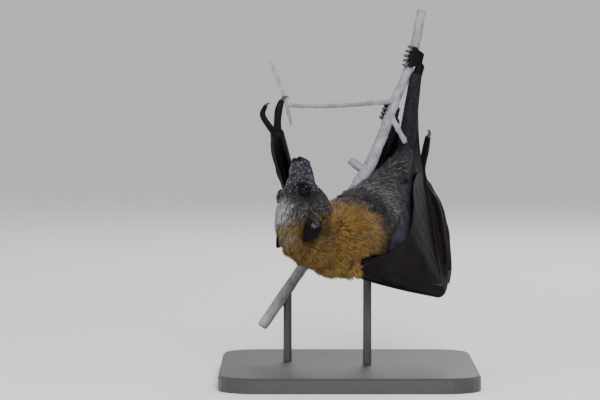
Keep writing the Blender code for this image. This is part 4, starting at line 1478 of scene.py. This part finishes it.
def skin_material(group):
    """Skin coloured by its points, dull under the hair and satin where it is naked."""
    material, tree, shader = principled("wing_and_body_skin", Specular_IOR_Level=0.04)
    tone = node(tree, "Attribute", attribute_name="tone")
    bare = node(tree, "Attribute", attribute_name="bare")
    fine = relief(tree, group, crease=620.0, grain=2600.0, share=0.35)
    colour = multiply(tree, tone.outputs["Color"], fine.outputs["Mottle"], low=0.75, high=1.3)
    tree.links.new(colour, shader.inputs["Base Color"])
    rough = node(tree, "MapRange", {"Value": bare.outputs["Fac"]}, in_To_Min=0.9,
                 in_To_Max=0.40)
    swing = 0.22            # how much the roughness differs from place to place
    vary = node(tree, "Math", {0: fine.outputs["Mottle"]}, operation="MULTIPLY_ADD")
    vary.inputs[1].default_value = swing
    tree.links.new(rough.outputs["Result"], vary.inputs[2])
    lower = node(tree, "Math", {0: vary.outputs[0]}, operation="SUBTRACT")
    lower.inputs[1].default_value = swing / 2
    tree.links.new(lower.outputs[0], shader.inputs["Roughness"])
    add_bump(tree, shader, fine.outputs["Height"], strength=0.35, distance=0.0004)
    return material


def fur_material():
    """Hair coloured by its points, with a faint sheen."""
    material, tree, shader = principled("coat", Roughness=0.6, Sheen_Weight=0.06,
                                        Sheen_Roughness=0.4, Specular_IOR_Level=0.2)
    tone = node(tree, "Attribute", attribute_name="tone")
    tree.links.new(tone.outputs["Color"], shader.inputs["Base Color"])
    return material


def eye_material():
    """Wet, nearly black eye with a brown iris."""
    material, tree, shader = principled("eye", Roughness=0.05, Specular_IOR_Level=0.12)
    iris = node(tree, "Attribute", attribute_name="iris")
    colour = colour_ramp(tree, iris.outputs["Fac"], (0.55, 0.006, 0.004, 0.004),
                         (0.70, 0.004, 0.002, 0.0015), (0.86, 0.003, 0.002, 0.0015),
                         (0.875, 0.001, 0.001, 0.001))
    tree.links.new(colour, shader.inputs["Base Color"])
    return material


def claw_material(group):
    """Dark horn with paler patches."""
    material, tree, shader = principled("claw_horn", Roughness=0.3)
    fine = relief(tree, group, crease=1500.0, grain=4000.0, share=0.6)
    colour = colour_ramp(tree, fine.outputs["Mottle"], (0.35, 0.020, 0.016, 0.015),
                         (0.75, 0.085, 0.068, 0.055))
    tree.links.new(colour, shader.inputs["Base Color"])
    add_bump(tree, shader, fine.outputs["Height"], strength=0.2, distance=0.0002)
    return material


def bark_material(group):
    """Pale grey bark with streaks of grain."""
    material, tree, shader = principled("pale_bark", Roughness=0.72)
    fine = relief(tree, group, crease=260.0, grain=1400.0, share=0.6)
    colour = colour_ramp(tree, fine.outputs["Mottle"], (0.25, 0.16, 0.145, 0.145),
                         (0.75, 0.29, 0.278, 0.33), (0.5, 0.235, 0.222, 0.255))
    # streaks of grain that run up and down
    place = node(tree, "TexCoord").outputs["Object"]
    along = node(tree, "VectorMath", {0: place}, operation="MULTIPLY")
    along.inputs[1].default_value = (1, 1, 0.12)
    grain = node(tree, "TexNoise", {"Vector": along.outputs["Vector"]}, in_Scale=900.0,
                 in_Detail=4.0)
    colour = multiply(tree, colour, grain.outputs["Fac"], low=0.62, high=1.25)
    tree.links.new(colour, shader.inputs["Base Color"])
    ridges = node(tree, "Math", {0: fine.outputs["Height"], 1: grain.outputs["Fac"]},
                  operation="ADD")
    add_bump(tree, shader, ridges.outputs[0], strength=0.5, distance=0.0005)
    return material


def stand_material(name, roughness):
    """Satin black with a very fine grain."""
    material, tree, shader = principled(name, STAND_BLACK, Roughness=roughness)
    place = node(tree, "TexCoord").outputs["Object"]
    grain = node(tree, "TexNoise", {"Vector": place}, in_Scale=700.0, in_Detail=2.0)
    add_bump(tree, shader, grain.outputs["Fac"], strength=0.08, distance=0.0003)
    return material


# ---- floor, light and camera ---------------------------------------------------------------
def add_light(name, place, aim, size, power):
    """Square soft light that shines from a place towards the model."""
    lamp = bpy.data.lights.new(name, "AREA")
    lamp.energy = power
    lamp.size = size
    thing = bpy.data.objects.new(name, lamp)
    thing.location = place
    thing.rotation_euler = (Vector(aim) - Vector(place)).to_track_quat("-Z", "Y").to_euler()
    bpy.context.scene.collection.objects.link(thing)


FLOOR_RADIUS, RIM_BEND = 4.5, 4         # metres: the flat part, and the rim's sweep


def add_floor():
    """Round pale floor whose rim sweeps up far behind, so that no horizon shows."""
    profile = [(radius, 0.0) for radius in (1.0, 2.5, FLOOR_RADIUS)]
    profile += [(FLOOR_RADIUS + RIM_BEND * math.sin(turn), RIM_BEND - RIM_BEND * math.cos(turn))
                for turn in np.linspace(0.1, math.pi / 2, 16)]
    sides = 96
    turns = np.arange(sides) * 2 * math.pi / sides
    points = [(0, 0, 0)]
    points += [(radius * math.cos(turn), radius * math.sin(turn), height)
               for radius, height in profile for turn in turns]
    faces = [(0, 1 + k, 1 + (k + 1) % sides) for k in range(sides)]
    faces += [(1 + i * sides + k, 1 + (i + 1) * sides + k,
               1 + (i + 1) * sides + (k + 1) % sides, 1 + i * sides + (k + 1) % sides)
              for i in range(len(profile) - 1) for k in range(sides)]
    floor = make_object("floor", (np.array(points) / MM, faces))
    floor.data.shade_smooth()
    floor.data.materials.append(principled("pale_floor", (0.80, 0.80, 0.79), Roughness=0.8)[0])


def add_lights():
    """Soft light from all round, a key from the front, a fill and a rim light."""
    world = bpy.data.worlds.new("studio")
    bpy.context.scene.world = world
    world.use_nodes = True
    backdrop = world.node_tree.nodes["Background"]
    backdrop.inputs["Color"].default_value = (0.93, 0.94, 0.95, 1)
    backdrop.inputs["Strength"].default_value = 0.78
    aim = (-0.01, -0.02, 0.16)
    add_light("key", (0.25, -2.2, 1.3), aim, size=0.8, power=72)
    add_light("fill", (-1.8, -1.2, 0.9), aim, size=1.6, power=14)
    add_light("rim", (0.6, 1.8, 1.6), aim, size=1.2, power=26)


def add_camera():
    """The view level with the bat: 3 m away, looking down by 3 degrees."""
    distance, tilt, seen_width = 3.0, math.radians(3), 0.552
    aim = Vector((-0.0452, -0.070, 0.172))
    camera = bpy.data.cameras.new("camera")
    camera.sensor_width = 36
    camera.lens = camera.sensor_width * distance / seen_width
    thing = bpy.data.objects.new("camera", camera)
    thing.location = aim + Vector((0, -math.cos(tilt), math.sin(tilt))) * distance
    thing.rotation_euler = (math.pi / 2 - tilt, 0, 0)
    bpy.context.scene.collection.objects.link(thing)
    bpy.context.scene.camera = thing


FLESH_NODES = [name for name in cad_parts
               if not name.startswith(("eye_", "perch_", "stand_"))]


def main():
    group = relief_group()
    skin = build_skin()
    tufts = grow_coat(skin)
    skin = add_extras(skin)
    skin.data.materials.append(skin_material(group))
    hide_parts(*FLESH_NODES)
    pieces = [skin]
    fur = fur_material()
    for piece in build_coat(tufts):
        piece.data.materials.append(fur)
        pieces.append(piece)
    eye = eye_material()
    for side in SIDES:
        thing = build_eye(side)
        thing.data.materials.append(eye)
        pieces.append(thing)
    claws = build_claws()
    claws.data.materials.append(claw_material(group))
    pieces.append(claws)
    bark = bark_material(group)
    for piece in build_perch():
        piece.data.materials.append(bark)
        pieces.append(piece)
    for piece in pieces:
        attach(piece, "root")
    board = stand_material("satin_black_board", 0.45)
    steel = stand_material("satin_black_steel", 0.38)
    for name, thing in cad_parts.items():
        if name.startswith("stand_"):
            thing.data.materials.clear()
            thing.data.materials.append(board if name == "stand_base" else steel)
    add_floor()
    add_lights()
    add_camera()


main()
